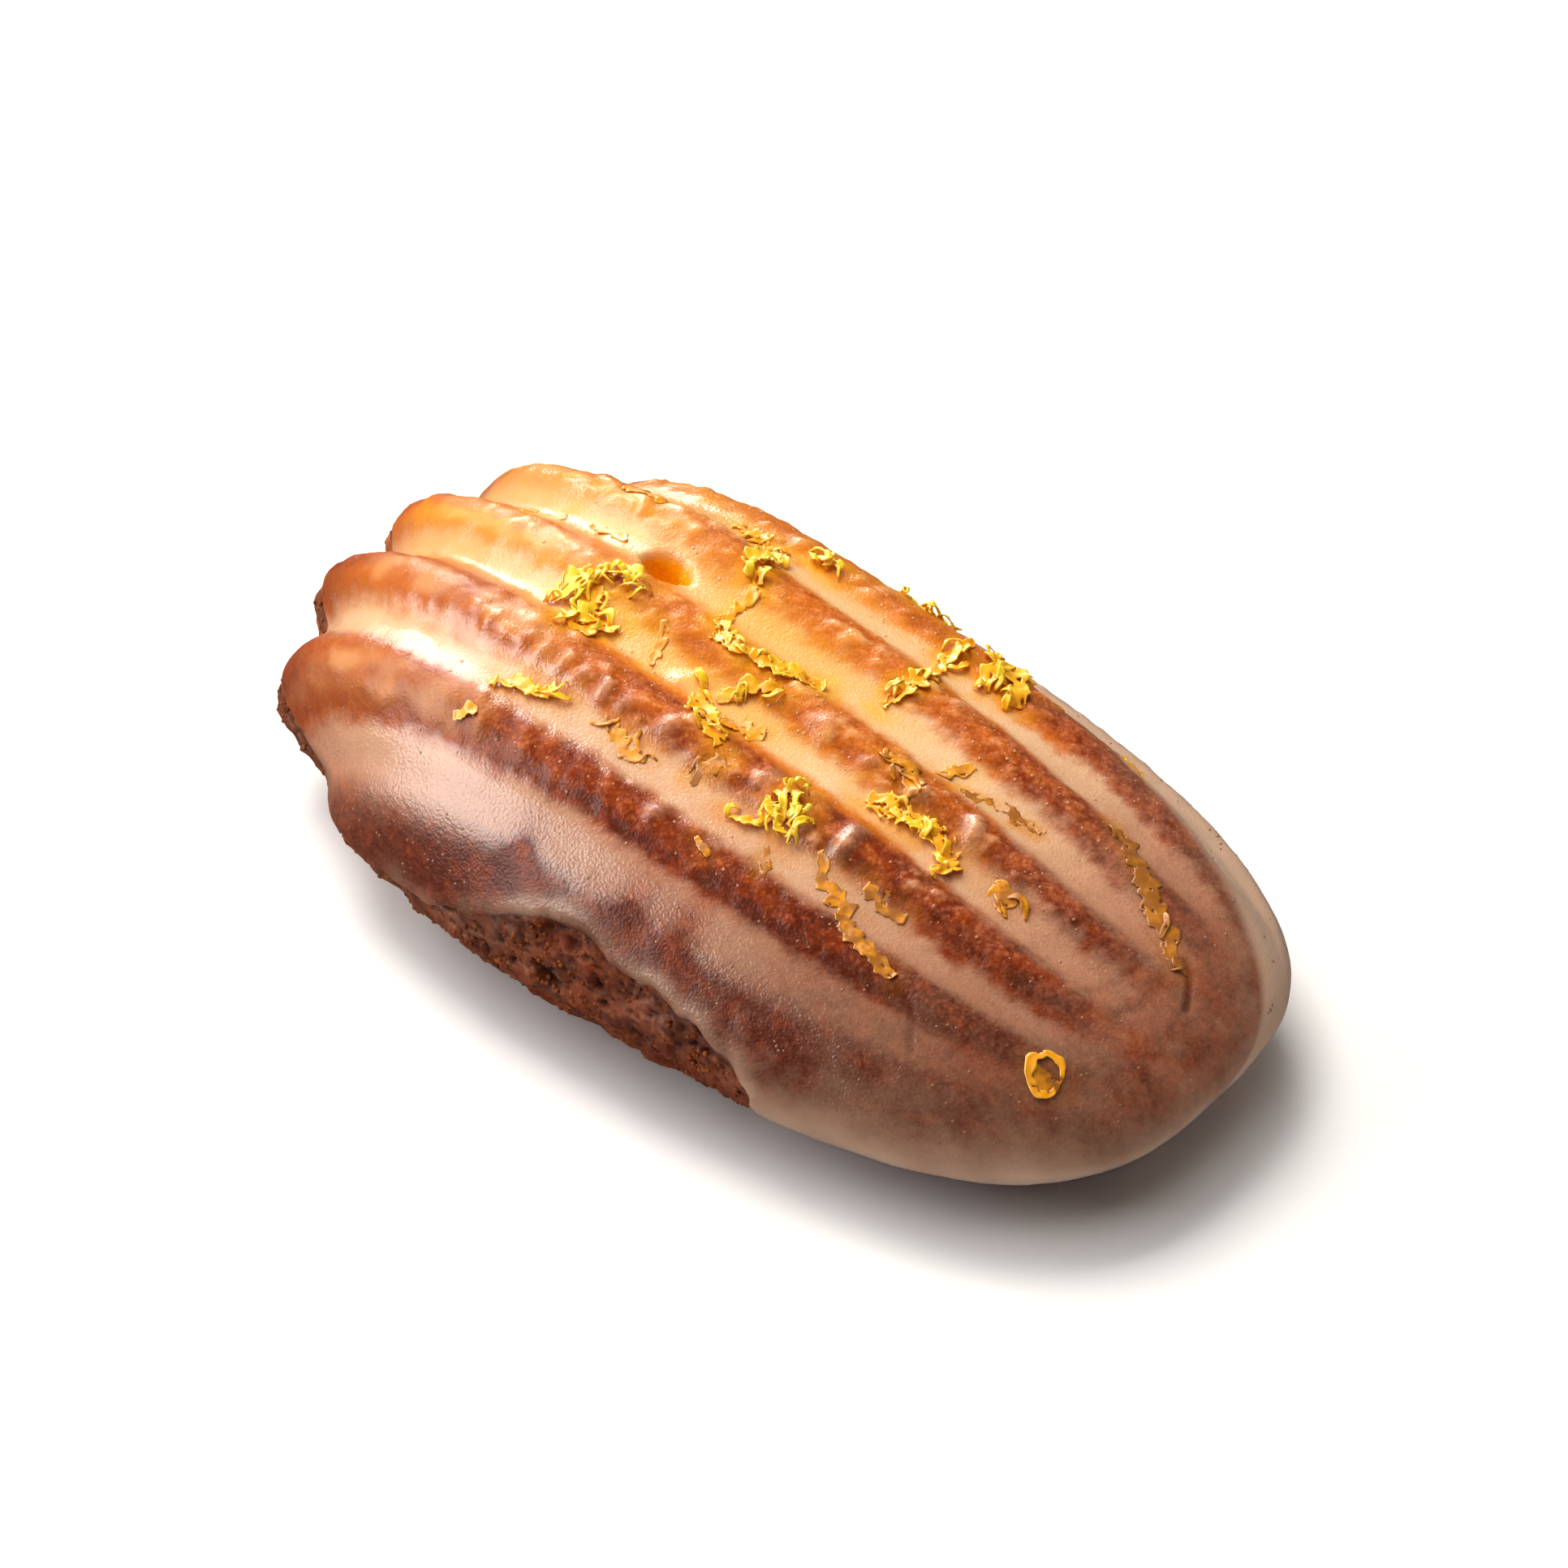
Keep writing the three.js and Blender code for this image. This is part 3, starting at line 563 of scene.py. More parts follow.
glazeLayers = {  # each is built up in turn, and may use those before it
    "onTop": [add(1, step("z", 0, 3))],
    "nearWall": [add(1, step("lane", -0.80, -0.90), step("station", -0.85, -0.55))],
    "farWall": [add(1, step("pastLip", -0.006, 0.012), step("x", -6, 8))],
    "onRidge": [
        add(1, "fade", "onTop", step("ridge", 0.2, 0.7), mix("nearWall", 1, 0)),
        times(step("lane", -0.75, -0.67), step("lane", -0.4, -0.5, 1, 0.55)),
        times(step("x", -20, -30, 1, 0.4), step("x", 10, 26, 1, 0.5), step("lane", 0.6, 0.8, 1, 0.3)),
    ],
    "dome": [
        add(1, step("largeCells", 0.7, 0.08)),
        times(step("clusters", -0.5, 0.2, 0.35, 1), step("domeNoise", -0.3, 0.3, 0.4, 1)),
    ],
    "bead": [add(1, step("smallCells", 0.6, 0.1))],
    "blister": [add(1, "dome"), add(0.35, "bead"), cap(1), times("onRidge")],

    # relief in mm: how full the grooves are and to what level, and what rises over the even coat
    "nearGroove": [add(1, step("lane", -0.64, -0.74), step("x", -34, -8, 0.45, 0.88))],
    "level": [add(-1.0), add(-1.7, step("x", -12, -31))],
    "rise": [
        add(0.42, "dome", "onRidge"), add(0.16, "bead", "onRidge"),
        add(0.02, "grain", mix("ridge", 0.4, 1)),
        add(0.07, "swell", step("lane", -0.6, -0.7, 1, 0.4)),
        add(0.13, "wideSwell", "onTop", step("x", -10, -18), step("lane", -0.72, -0.62)),
        add(0.22, hill("overLip", 0.02, 0.02), step("x", 0, 12), step("x", 33, 22)),
        add(-1, "mark"),
    ],

    # milk is how white the glaze is, from 0 where it is clear
    "noseFilm": [
        add(0.16), add(0.20, step("lane", -0.48, -0.56)), add(0.14, step("lane", 0.15, 0.35)),
        times(step("x", 13, 26), mix("noseNoise", 0.7, 1.2)),
    ],
    "tips": [add(1, step("fromRim", 0.20, 0), step("station", -0.2, -0.42))],
    "blotch": [add(0.38), add(0.24, "blotchLarge"), add(0.16, "blotchMiddle"), add(0.10, "blotchSmall")],
    "noseEnd": [add(1, step("station", 0.70, 0.92))],
    "wallMilk": [
        add(1, "blotch"), add(-0.56), add(0.50, step("x", 2, 26)), add(0.26, step("z", 5, 0)),
        add(-0.12, step("x", 2, -8)), add(0.12, step("x", -11, -16)), atLeast(0.9, "pooled"),
    ],
    "lip": [
        add(1, hill("distance", 0.6, 0.9), step("x", -13, -5), hill("x", 1, 3, 1, 0.5)),
        times(mix("lipNoise", 0.75, 1.25)),
    ],
    "skirt": [add(1, step("z", 2.5, -2.0), step("x", -22, -8), mix("skirtNoise", 0.85, 1.35))],
    "milk": [
        # the lumps are whiter, as glaze film on their tops and as painted highlight
        add(1, "pooled"), atLeast(1, step("lane", -0.5, -0.4, 0.2, 0.5), step("blister", 0.2, 0.9)),
        dim(0.25, step("x", 16, 26)), atLeast(1, "noseFilm"),
        add(0.04, "onTop", step("lane", -0.45, -0.15)),
        add(0.08, step("lane", 0.6, 0.75), step("x", 8, 18)),
        add(0.08, "ridge", step("hazeNoise", -0.1, 0.7), step("lane", -0.55, -0.4)),
        dim(0.9, "tips", mix("ridge", 0.3, 1)),
        dim(1, "noseEnd"), add(1, "noseEnd", "blotch"),
        dim(1, "nearWall"), add(1, "nearWall", "wallMilk"),
        # single blisters painted white: whiter glaze and painted highlight
        add(-1, "bareSpots"), add(0.5, "blisterWhiteAndHighlight"), add(-1.5, "crack"),
        dim(1, "farWall"), add(1, "farWall", mix("creamNoise", 0.92, 1.0)),
        add(0.42, "lip"), add(0.5, "skirt"), cap(1),
    ],
    "pale": [
        atLeast(1, "farWall", step("x", -5, 12)), atLeast(0.5, "lip"),
        atLeast(1, "skirt", step("x", 16, 28, 1, 1.2)), cap(1),
    ],

    # bakeAndShade is how warm and light the bake is, with painted shade that darkens the nose and the near
    # side
    "bakeAndShade": [
        add(1, "bakeAndShadeFalloff"), dim(0.6, "tips", mix("ridge", 0.4, 1)),
        # the near wall is painted darker, partly as painted shade
        dim(1, "nearWall", mix("pooled", 1, 0), step("x", -10, -16, 0.7, 0.45)),
        dim(0.25, step("lane", 0.6, 0.75), step("x", 5, 18)), dim(0.12, step("lane", 0.25, 0.6)),
        add(-0.14, "onRidge", step("steepness", 0.3, 0.9), step("x", -16, -6)),
        add(0.07, "ridge", hill("lane", -0.6, 0.1), step("x", -20, -10), step("x", 24, 8)),
        add(-0.28, hill("lane", -0.33, 0.13), step("x", -12, -24)),
        dim(-0.22, "margin"), add(-0.022, "margin"),
        # lumps painted paler: whiter glaze on their tops and a painted highlight
        add(0.42, "blister", "onRidge"), add(-0.19, "onRidge"), add(-0.5, "crack"),
        add(-0.09, "onRidge", step("lane", -0.3, -0.15), step("x", -20, -12), step("x", 9, -5)),
        add(0.07, hill("lane", -0.3, 0.12), step("x", 17, 26)),
    ],
    "grainy": [add(1, "ridge", "fade"), add(0.3, mix("fade", 1, 0)), dim(1, "nearWall")],
    "tan": [
        add(1, step("x", -10, -24), step("ridge", 0.2, 0.6, 0.3, 1), step("lane", -1.1, -0.4)),
        times(mix("pooled", 1, 0.7), step("lane", 0.12, 0.4, 1, 1.3)),
    ],
    "wideTop": [add(1, "onTop", step("x", -8, -15), step("lane", -0.74, -0.62))],
    "flank": [add(1, "slope"), add(0.6, "flankNoise")],
    "amber": [
        add(1, "wideTop"), atLeast(0.85, "onTop", step("x", 14, 0), step("lane", -0.30, -0.12)),
        times(step("flank", 0, 0.7), mix("pooled", 1, 0.4)),
    ],
    "crownLine": [add(1, "ridge"), add(0.25, "crownNoise")],
    # painted highlight along the crests at the wide end, with a paler glaze film under it
    "satin": [
        add(1, "wideTop", step("crownLine", 0.6, 0.98), step("x", -34, -29)),
        dim(1, step("x", -12, -19, 1, 0), step("lane", -0.45, -0.35, 1, 0)),
        times(step("crestHighlightNoise", -0.2, 0.5, 0.3, 1), step("lane", 0.12, 0.3, 1, 0.25)),
    ],
    "stain": [
        add(0.15, "onTop", step("x", -9, -14), step("lane", -0.15, 0.15)),
        times(step("goldNoise", -0.5, 0.2), mix("pooled", 1, 0.3)),
        atLeast(0.75, "pooled", hill("x", -4, 7), step("lane", -0.25, -0.15), step("lane", 0.35, 0.25)),
        atLeast(1, "zestStain"),
    ],
    "bubbly": [
        add(1, "onTop", step("bubbleNoise", -0.1, 0.5, 0.25, 1)),
        times(mix("pooled", 1, 0.15), step("x", -30, -20)),
    ],
}
glazePaints = ("milk", "bakeAndShade", "bubbly", "grainy", "tan", "pale", "amber", "satin", "stain", "hollow")


def evenLanes(count):  # columns at even steps over the arched cross-section
    fine = np.sin(np.linspace(0, np.pi / 2, 4000))
    run = runAlong(fine * fullHalfWidth, madeleine["crown"] * fullness(fine, madeleine["crossSection"]))
    half = np.interp(np.linspace(0, run[-1], count // 2 + 1), run, fine)
    half[-1] = 1
    return np.concatenate([-half[:0:-1], half])


def shellSheet(lanes, rows, depths):  # the fluted top, lanes by rows, and rings that go on below the girdle
    along = (1 - np.cos(np.pi * np.arange(rows) / rows)) / 2
    rim = rimStation(lanes)
    station = rim + (1 - rim) * along[:, None]
    lane = np.broadcast_to(lanes, station.shape)
    isEdge = np.abs(lane) == 1
    y = np.where(isEdge, lane * halfWidthAt(station), laneToY(lane, station))
    x = station * halfLength
    z = heightAt(x, y)
    z[0], z[isEdge] = 0, 0
    points = np.stack([x, y, z], axis=-1).reshape(-1, 3)
    relief = (fluteRelief(lane, station, rim) + spots(x, y, swells)).ravel()
    index = np.arange(len(points)).reshape(rows, -1)
    nose = len(points)
    points = np.concatenate([points, [[halfLength, 0, 0]]])
    relief = np.append(relief, 0)
    lane, station = np.append(lane.ravel(), 0), np.append(station.ravel(), 1)
    corners = [index[:-1, :-1], index[1:, :-1], index[1:, 1:], index[:-1, 1:]]
    quads = [np.stack(corners, axis=-1).reshape(-1, 4)]
    triangles = np.stack([index[-1, :-1], np.full(index.shape[1] - 1, nose), index[-1, 1:]], axis=-1)

    loop = np.concatenate([index[0], index[1:, -1], [nose], index[:0:-1, 0]])
    first = loop
    bend, blunt = madeleine["humpSection"]
    for depth in depths:
        share = (1 - (depth / madeleine["humpDepth"]) ** blunt) ** (1 / bend)
        nextLoop = len(points) + np.arange(len(loop))
        lower = points[first] * [share, share, 0] - [0, 0, depth]
        points = np.concatenate([points, lower])
        relief = np.append(relief, relief[first] * share ** flutes["hemPower"])
        lane, station = np.append(lane, lane[first]), np.append(station, station[first])
        quads.append(np.stack([loop, np.roll(loop, -1), np.roll(nextLoop, -1), nextLoop], axis=-1))
        loop = nextLoop
    return {
        "points": points, "relief": relief, "lane": lane, "station": station,
        "quads": np.concatenate(quads), "triangles": triangles, "lastLoop": loop,
    }


def glazeOffset(points, distance):  # rise of the even coat, with its lip and its dive under the crust
    share = np.clip(distance / glazeEdge["lipWidth"], 0, 1)
    rounded = np.sqrt(1 - (1 - share) ** 2)
    at = {"x": points[:, 0], "distance": np.maximum(distance, 0)}
    lip = glazeEdge["lip"] * product(glazeEdge["lipFades"], at) * rounded
    dive = glazeEdge["dive"] * np.clip(-distance / glazeEdge["diveWidth"], 0, 1)
    return lip - dive - pit["deep"] * pitDepth(points)


def bakeAndShadeAt(points):  # how pale and warm the bake is, with painted shade that darkens it towards the nose and the near side
    x, y = points[:, 0], points[:, 1]
    start, end, left = bakeAndShadeSteps["nose"]
    low, high, least = bakeAndShadeSteps["near"]
    shiftLow, shiftHigh = np.outer(bakeAndShadeSteps["wideShift"], smoothStep(*bakeAndShadeSteps["wideEnd"], x))
    across = smoothStep(low + shiftLow, high + shiftHigh, y)
    return (1 - (1 - left) * smoothStep(start, end, x)) * (least + (1 - least) * across)


def milkAt(points, lane):  # 1 in the middle of the pools, with a ragged upper edge and a clean lower one
    x = points[:, 0]
    ragged = sum(share * softNoise(points, size, seed) for share, size, seed in pools["ragged"])
    atNose = smoothStep(*pools["nose"], x)
    wideStart, wideFull, wideSpread = pools["wideEnd"]
    upperRagged, lowerRagged = pools["raggedShare"]
    softer = pools["softer"]
    milk, margin = np.zeros(len(points)), np.zeros(len(points))
    for pool, (middle, half, shift, widening, soft) in enumerate(pools["lanes"]):
        spread = 1 + wideSpread * smoothStep(wideStart, wideFull, x) + (widening - 1) * atNose
        away = (lane - middle - shift * atNose) / (half * spread)
        above = away + (upperRagged + softer["upperRagged"] * soft) * ragged
        below = -away + (lowerRagged + softer["lowerRagged"] * soft) * ragged
        start, full = pools["lowerEdge"]
        upper = smoothStep(*pools["upperEdge"], above)
        lower = smoothStep(start + softer["start"] * soft, full + softer["full"] * soft, below)
        thin = sum(loss * bell(spot, reach, x) for which, spot, reach, loss in pools["thin"] if which == pool)
        milk = np.maximum(milk, np.where(away > 0, upper, lower) * (1 - thin))
        margin = np.maximum(margin, smoothStep(*pools["margin"], np.abs(away)))
    return milk, margin


def stainAt(points):  # golden where zest lies in the pale glaze
    stain = np.zeros(len(points))
    low, high, least = stainShade["dark"]
    # the stain is fainter where the bake tone is low, and that tone carries painted shade
    paleness = least + (1 - least) * smoothStep(low, high, bakeAndShadeAt(points))
    dry, soaked = stainShade["reach"]
    for start, end, _, width, _, steeped, _ in shreds:
        beside = np.maximum(0, awayFrom([start, end], points[:, :2]) - width / 2)
        shown = max(smoothStep(*stainShade["fresh"], steeped), 1 - steeped)
        stain = np.maximum(stain, shown * paleness * bell(0, dry + (soaked - dry) * steeped, beside))
    size, seed, low, high = stainShade["patches"]
    return stain * smoothStep(low, high, softNoise(points, size, seed)) * (points[:, 2] > 0)


def markDepth(points):  # cracks and wrinkles over 0, and single blisters under 0
    lines = (depth * bell(0, halfWidth, awayFrom(line, points[:, :2])) for line, halfWidth, depth in marks)
    return sum(lines) * (points[:, 2] > 0)


def glazeLook(sheet, distance):  # rise of the coat in mm, and its paints
    points, lane, station, relief = sheet["points"], sheet["lane"], sheet["station"], sheet["relief"]
    x, y, z = points.T
    wandered = drifted(lane, station)
    nudge, fullSlope = blisters["slopeStep"], blisters["fullSlope"]
    slope = (fluteWave(wandered + nudge) - fluteWave(wandered - nudge)) / fullSlope
    overLip = lane - np.interp(x, farLip["x"], farLip["lane"])
    warp = [softNoise(points, blisters["warpSize"], seed) for seed in blisters["warpSeeds"]]
    flow = points + blisters["warp"] * np.stack(warp, axis=1)
    mark = markDepth(points)
    pooled, margin = milkAt(points, lane)
    at = noisesAt(points, glazeNoises)
    at.update({
        "x": x, "z": z, "lane": lane, "station": station, "distance": distance,
        "fade": fluteFade(lane, station), "ridge": (fluteWave(wandered) + 1) / 2,
        "slope": slope, "steepness": np.abs(slope),
        "fromRim": station - rimStation(np.clip(lane, -0.99, 0.99)),
        "overLip": overLip, "pastLip": overLip / (1 + farLip["blur"] * smoothStep(*farLip["blurAt"], x)),
        "largeCells": cellNoise(flow, *blisters["large"]), "smallCells": cellNoise(flow, *blisters["small"]),
        "mark": mark, "crack": np.clip(mark, 0, 1),
        "blisterWhiteAndHighlight": np.clip(-mark / blisters["whiteAndHighlightOver"], 0, 1),
        "pooled": pooled, "margin": margin, "bareSpots": spots(x, y, pools["bareSpots"]) * (z > 0),
        "bakeAndShadeFalloff": bakeAndShadeAt(points), "zestStain": stainAt(points), "hollow": pitDepth(points),
    })
    buildLayers(glazeLayers, at)
    soft = pools["levelSoftness"]
    filled = relief + soft * np.log1p(np.exp(np.minimum((at["level"] - relief) / soft, 20)))
    rise = at["rise"] + (filled * (1 - at["nearGroove"]) - relief) * at["onTop"]
    return rise, {name: at[name] for name in glazePaints}


glazeSurface = {
    "Specular IOR Level": 0.12, "Subsurface Weight": 0.35, "Subsurface Radius": (1.0, 0.5, 0.22),
    "Subsurface Scale": 0.0022, "IOR": 1.42, "Coat Roughness": 0.17,
}
glazeTints = {  # place along the bake tone, which carries painted shade, and colour
    "toast": [(0.0, (88, 30, 8)), (0.22, (134, 50, 10)), (0.6, (194, 96, 22)), (1.0, (220, 124, 30))],
    "cream": [
        (0.0, (147, 106, 82)), (0.22, (185, 134, 104)), (0.4, (212, 163, 127)), (0.8, (244, 194, 148)),
        (1.0, (244, 192, 136)),
    ],
    "tan": [(0.1, (116, 50, 20)), (0.5, (150, 70, 26)), (0.9, (184, 94, 28)), (1.0, (204, 116, 32))],
    "amber": [(0.2, (146, 70, 20)), (0.6, (190, 98, 24)), (1.0, (228, 142, 38))],
    # colours of the painted crest highlight and its paler film
    "satin": [(0.2, (208, 146, 104)), (0.7, (230, 164, 100)), (1.0, (250, 208, 146))],
    "stain": [(0.1, (150, 88, 20)), (0.5, (208, 128, 14)), (1.0, (248, 172, 10))],
}
glazeOverlays = {"tan": 0.85, "amber": 0.75, "satin": 0.6, "stain": 0.75}  # laid on in this order
glazeFlats = {"pale": (202, 168, 142), "paleShare": 0.75, "hollow": (246, 164, 4)}
glazeGrain = {"broad": 0.10, "fine": 0.05, "cover": 0.06, "toast": 0.09, "cells": 2200.0}


def glazeFinish():
    finish, tree, surface = newFinish("glaze", glazeSurface)
    bakeAndShade, milk, hollow, grainy = (readPaint(tree, name) for name in ("bakeAndShade", "milk", "hollow", "grainy"))
    fine = objectNoise(tree, 0.6, 3)
    place = addNode(tree, "ShaderNodeTexCoord").outputs["Object"]
    cells = addNode(tree, "ShaderNodeTexVoronoi", {"Vector": place, "Scale": glazeGrain["cells"]})
    grains = calculate(tree, "MULTIPLY", mapRange(tree, cells.outputs["Distance"], 0.05, 0.6, 1, -1), grainy)
    toastGrains = calculate(tree, "MULTIPLY", grains, glazeGrain["toast"])
    coverGrains = calculate(tree, "MULTIPLY", grains, glazeGrain["cover"])
    broad = jitter(tree, objectNoise(tree, 1.9, 3), glazeGrain["broad"])
    # the bake tone, with its painted shade, sets the toast and cream colours
    bake = addUp(tree, bakeAndShade, broad, jitter(tree, fine, glazeGrain["fine"]), toastGrains)
    specks = jitter(tree, objectNoise(tree, 0.25, 2), glazeGrain["cover"])
    cover = addUp(tree, milk, specks, jitter(tree, fine, glazeGrain["cover"]), coverGrains)
    toast, cream = ramp(tree, bake, glazeTints["toast"]), ramp(tree, bakeAndShade, glazeTints["cream"])
    skin = mixColours(tree, cover, toast, cream)
    for paint, strength in glazeOverlays.items():
        share = calculate(tree, "MULTIPLY", readPaint(tree, paint), strength)
        skin = mixColours(tree, share, skin, ramp(tree, bakeAndShade, glazeTints[paint]))
    pale = calculate(tree, "MULTIPLY", readPaint(tree, "pale"), glazeFlats["paleShare"])
    skin = mixColours(tree, pale, skin, colour(*glazeFlats["pale"]))
    skin = mixColours(tree, mapRange(tree, hollow, 0.03, 0.3), skin, colour(*glazeFlats["hollow"]))
    tree.links.new(skin, surface.inputs["Base Color"])
    tree.links.new(mapRange(tree, fine, 0.3, 0.7, 0.38, 0.52), surface.inputs["Roughness"])
    tree.links.new(mapRange(tree, milk, 0.0, 0.5, 0.20, 0.9), surface.inputs["Coat Weight"])
    pebble = objectNoise(tree, 0.22, 2)
    tree.links.new(bumpOf(tree, pebble, 0.5, 0.15), surface.inputs["Normal"])
    tree.links.new(bumpOf(tree, pebble, 1.0, 0.05), surface.inputs["Coat Normal"])
    return finish


def evenedOut(points, quads, chosen, rounds=8):  # spaces out the rows that bunch where the shell turns under
    first, second = np.concatenate([quads[:, [k, (k + 1) % 4]] for k in range(4)]).T
    size = len(points)

    def gathered(values):  # sum over the neighbours of each point
        return np.bincount(first, values[second], size) + np.bincount(second, values[first], size)

    count = np.maximum(gathered(np.ones(size)), 1)[:, None]
    for _ in range(rounds):
        middle = np.stack([gathered(axis) for axis in points.T], axis=1) / count
        points = np.where(chosen[:, None], (points + middle) / 2, points)
    return points


def makeGlaze():
    lanes = evenLanes(glazeSheet["columns"])
    depths = np.linspace(0, glazeSheet["skirtDepth"], glazeSheet["skirt"] + 1)[1:]
    outer = shellSheet(lanes, glazeSheet["rows"], depths)
    stride = glazeSheet["innerStep"]
    inner = shellSheet(lanes[::stride], glazeSheet["rows"] // stride, depths[stride - 1::stride])
    for sheet in (outer, inner):
        points = sheet["points"]
        normals = vertexNormals(points, np.concatenate([splitQuads(sheet["quads"]), sheet["triangles"]]))
        distance = edgeDistance(points)
        offset = sheet["relief"] + glazeOffset(points, distance)
        if sheet is outer:
            rise, paints = glazeLook(sheet, distance)
            offset += rise * smoothStep(*glazeSheet["edgeBand"], distance)
        else:
            offset -= glazeSheet["thickness"] + pit["innerDeep"] * pitDepth(points, 1.2)
        atGirdle = np.abs(points[:, 2]) < glazeSheet["girdleBand"]
        sheet["formed"] = evenedOut(points + normals * offset[:, None], sheet["quads"], atGirdle)

    base = len(outer["formed"])
    fineLoop, coarseLoop = outer["lastLoop"], inner["lastLoop"] + base
    fans = []  # close the bottom between the fine loop and the coarse one
    for k in range(len(coarseLoop)):
        fine = [fineLoop[(stride * k + i) % len(fineLoop)] for i in range(stride + 1)]
        here, ahead = coarseLoop[k], coarseLoop[(k + 1) % len(coarseLoop)]
        middle = stride // 2
        fans += [(fine[i], fine[i + 1], here) for i in range(middle)]
        fans.append((fine[middle], ahead, here))
        fans += [(fine[i], fine[i + 1], ahead) for i in range(middle, stride)]
    quads = np.concatenate([outer["quads"], inner["quads"][:, ::-1] + base])
    triangles = np.concatenate([outer["triangles"], inner["triangles"][:, ::-1] + base, fans])
    points = np.concatenate([outer["formed"], inner["formed"]])
    unpainted = np.zeros(len(inner["formed"]))
    paints = {name: np.append(values, unpainted) for name, values in paints.items()}
    print("glaze", 2 * len(quads) + len(triangles), "triangles")
    return makePiece("glazeCoat", points, quads, triangles, glazeFinish(), paints)


glazeCoat = makeGlaze()
settle(glazeCoat)


# the crust is the baked sponge, bare along the near side, under the lobes and underneath

crustRings = {"around": 720, "wall": 52, "crownRings": 14, "hump": 46, "flat": 12, "wallShare": 0.8}
crustNoises = {
    "coarse": (2.4, 44), "poreNoise": (4, 42), "pitNoise": (0.8, 50), "filmLarge": (3.2, 46),
    "filmSmall": (1.1, 47), "crumbNoise": (2.2, 48),
}
crustCells = {"poreCells": (1.15, 41), "smallPoreCells": (0.575, 43), "pitCells": (3.6, 49)}
cellStretch = [0.8, 0.8, 1.25]
crustLayers = {  # rise is in mm, and the sponge is rough where the glaze doesn't cover it
    "covered": [add(1, step("distance", 0.1, 1.0))],
    "resting": [add(1, step("overRest", 0.4, 1.6))],
    "pores": [
        add(1, step("poreCells", 0.42, 0.12), step("poreNoise", -0.25, 0.35)),
        add(0.6, step("smallPoreCells", 0.40, 0.15)), times(step("z", -5.5, -3.0, 0.35, 1)),
    ],
    "pitLine": [add(1, "pitCells"), add(0.08, "pitNoise")],
    "pits": [add(1, "resting", step("pitLine", 0.38, 0.12))],
    "rise": [
        add(0.40, "coarse", mix("resting", 0.3, 1)), add(0.16, "fine", mix("resting", 0.3, 1)),
        add(-0.6, "pores", mix("resting", 0.4, 1)), add(-0.05), add(-0.8, "pits"),
        dim(1, "covered"), add(-0.28, "covered"),
    ],
    # dark paint for the pores and pits, as painted shade in the holes
    "poreShade": [add(1, "pores"), atLeast(1, "pits"), cap(1)],
    "film": [
        add(0.28), add(0.3, step("x", -6, -16)), add(0.55, "filmLarge"), add(0.25, "filmSmall"),
        cap(1), dim(1, "poreShade"), times(step("z", -4.5, -1.0), step("x", 8, 20, 1, 0.5)),
    ],
    "crumbly": [add(1, "resting", step("distance", 0.2, -0.8), step("crumbNoise", -0.3, 0.4))],
}
crustSurface = {
    "Specular IOR Level": 0.12, "Subsurface Weight": 0.12, "Subsurface Radius": (1.0, 0.45, 0.2),
    "Subsurface Scale": 0.001,
}


def ringLevels():  # share of the outline for each ring down to the girdle, and share and depth below it
    fine = np.sin(np.linspace(0, np.pi / 2, 4000))
    run = runAlong(fine * fullHalfWidth, madeleine["crown"] * fullness(fine, madeleine["crossSection"]))
    wallStart = np.interp(crustRings["wallShare"], fine, run)
    above = np.interp(np.linspace(wallStart, run[-1], crustRings["wall"]), run, fine)
    crown = np.linspace(0, crustRings["wallShare"], crustRings["crownRings"] + 1)[1:-1]
    inwards = np.sin(np.linspace(np.pi / 2, 0, 4000))
    depth = madeleine["humpDepth"] * fullness(inwards, madeleine["humpSection"])
    depth = np.minimum(madeleine["restDepth"], depth)
    run = runAlong(inwards * fullHalfWidth, depth)
    flatStart = run[np.argmax(depth >= madeleine["restDepth"])]
    steps = np.concatenate([
        np.linspace(0, flatStart, crustRings["hump"] + 1)[1:],
        np.linspace(flatStart, run[-1], crustRings["flat"] + 1)[1:-1],
    ])
    return np.concatenate([crown, above]), np.interp(steps, run, inwards), np.interp(steps, run, depth)


def crustPoints():
    along = np.linspace(0, girdleLengths[-1], crustRings["around"] + 1)[:-1]
    rim = np.stack([np.interp(along, girdleLengths, girdleLine[:, axis]) for axis in (0, 1)], axis=1)
    sharesAbove, sharesBelow, depths = ringLevels()
    rings, reliefs = [], []
    for share in sharesAbove:
        x, y = rim.T * share
        z = heightAt(x, y) if share < 1 else np.zeros(len(x))
        station = np.clip(x / halfLength, -1, 1)
        lane = np.clip(yToLane(y, station), -1, 1)
        rings.append(np.stack([x, y, z], axis=1))
        reliefs.append(fluteRelief(lane, station, rimStation(lane)) + spots(x, y, swells))
    girdleRelief = reliefs[-1]
    for share, depth in zip(sharesBelow, depths):
        x, y = rim.T * share
        rings.append(np.stack([x, y, np.full(len(x), -depth)], axis=1))
        reliefs.append(girdleRelief * share ** flutes["hemPower"])
    top = [0, 0, float(heightAt(np.zeros(1), np.zeros(1))[0])]
    points = np.concatenate([*rings, [top, [0, 0, -madeleine["restDepth"]]]])
    return points, np.concatenate([*reliefs, [0, 0]]), len(rings)


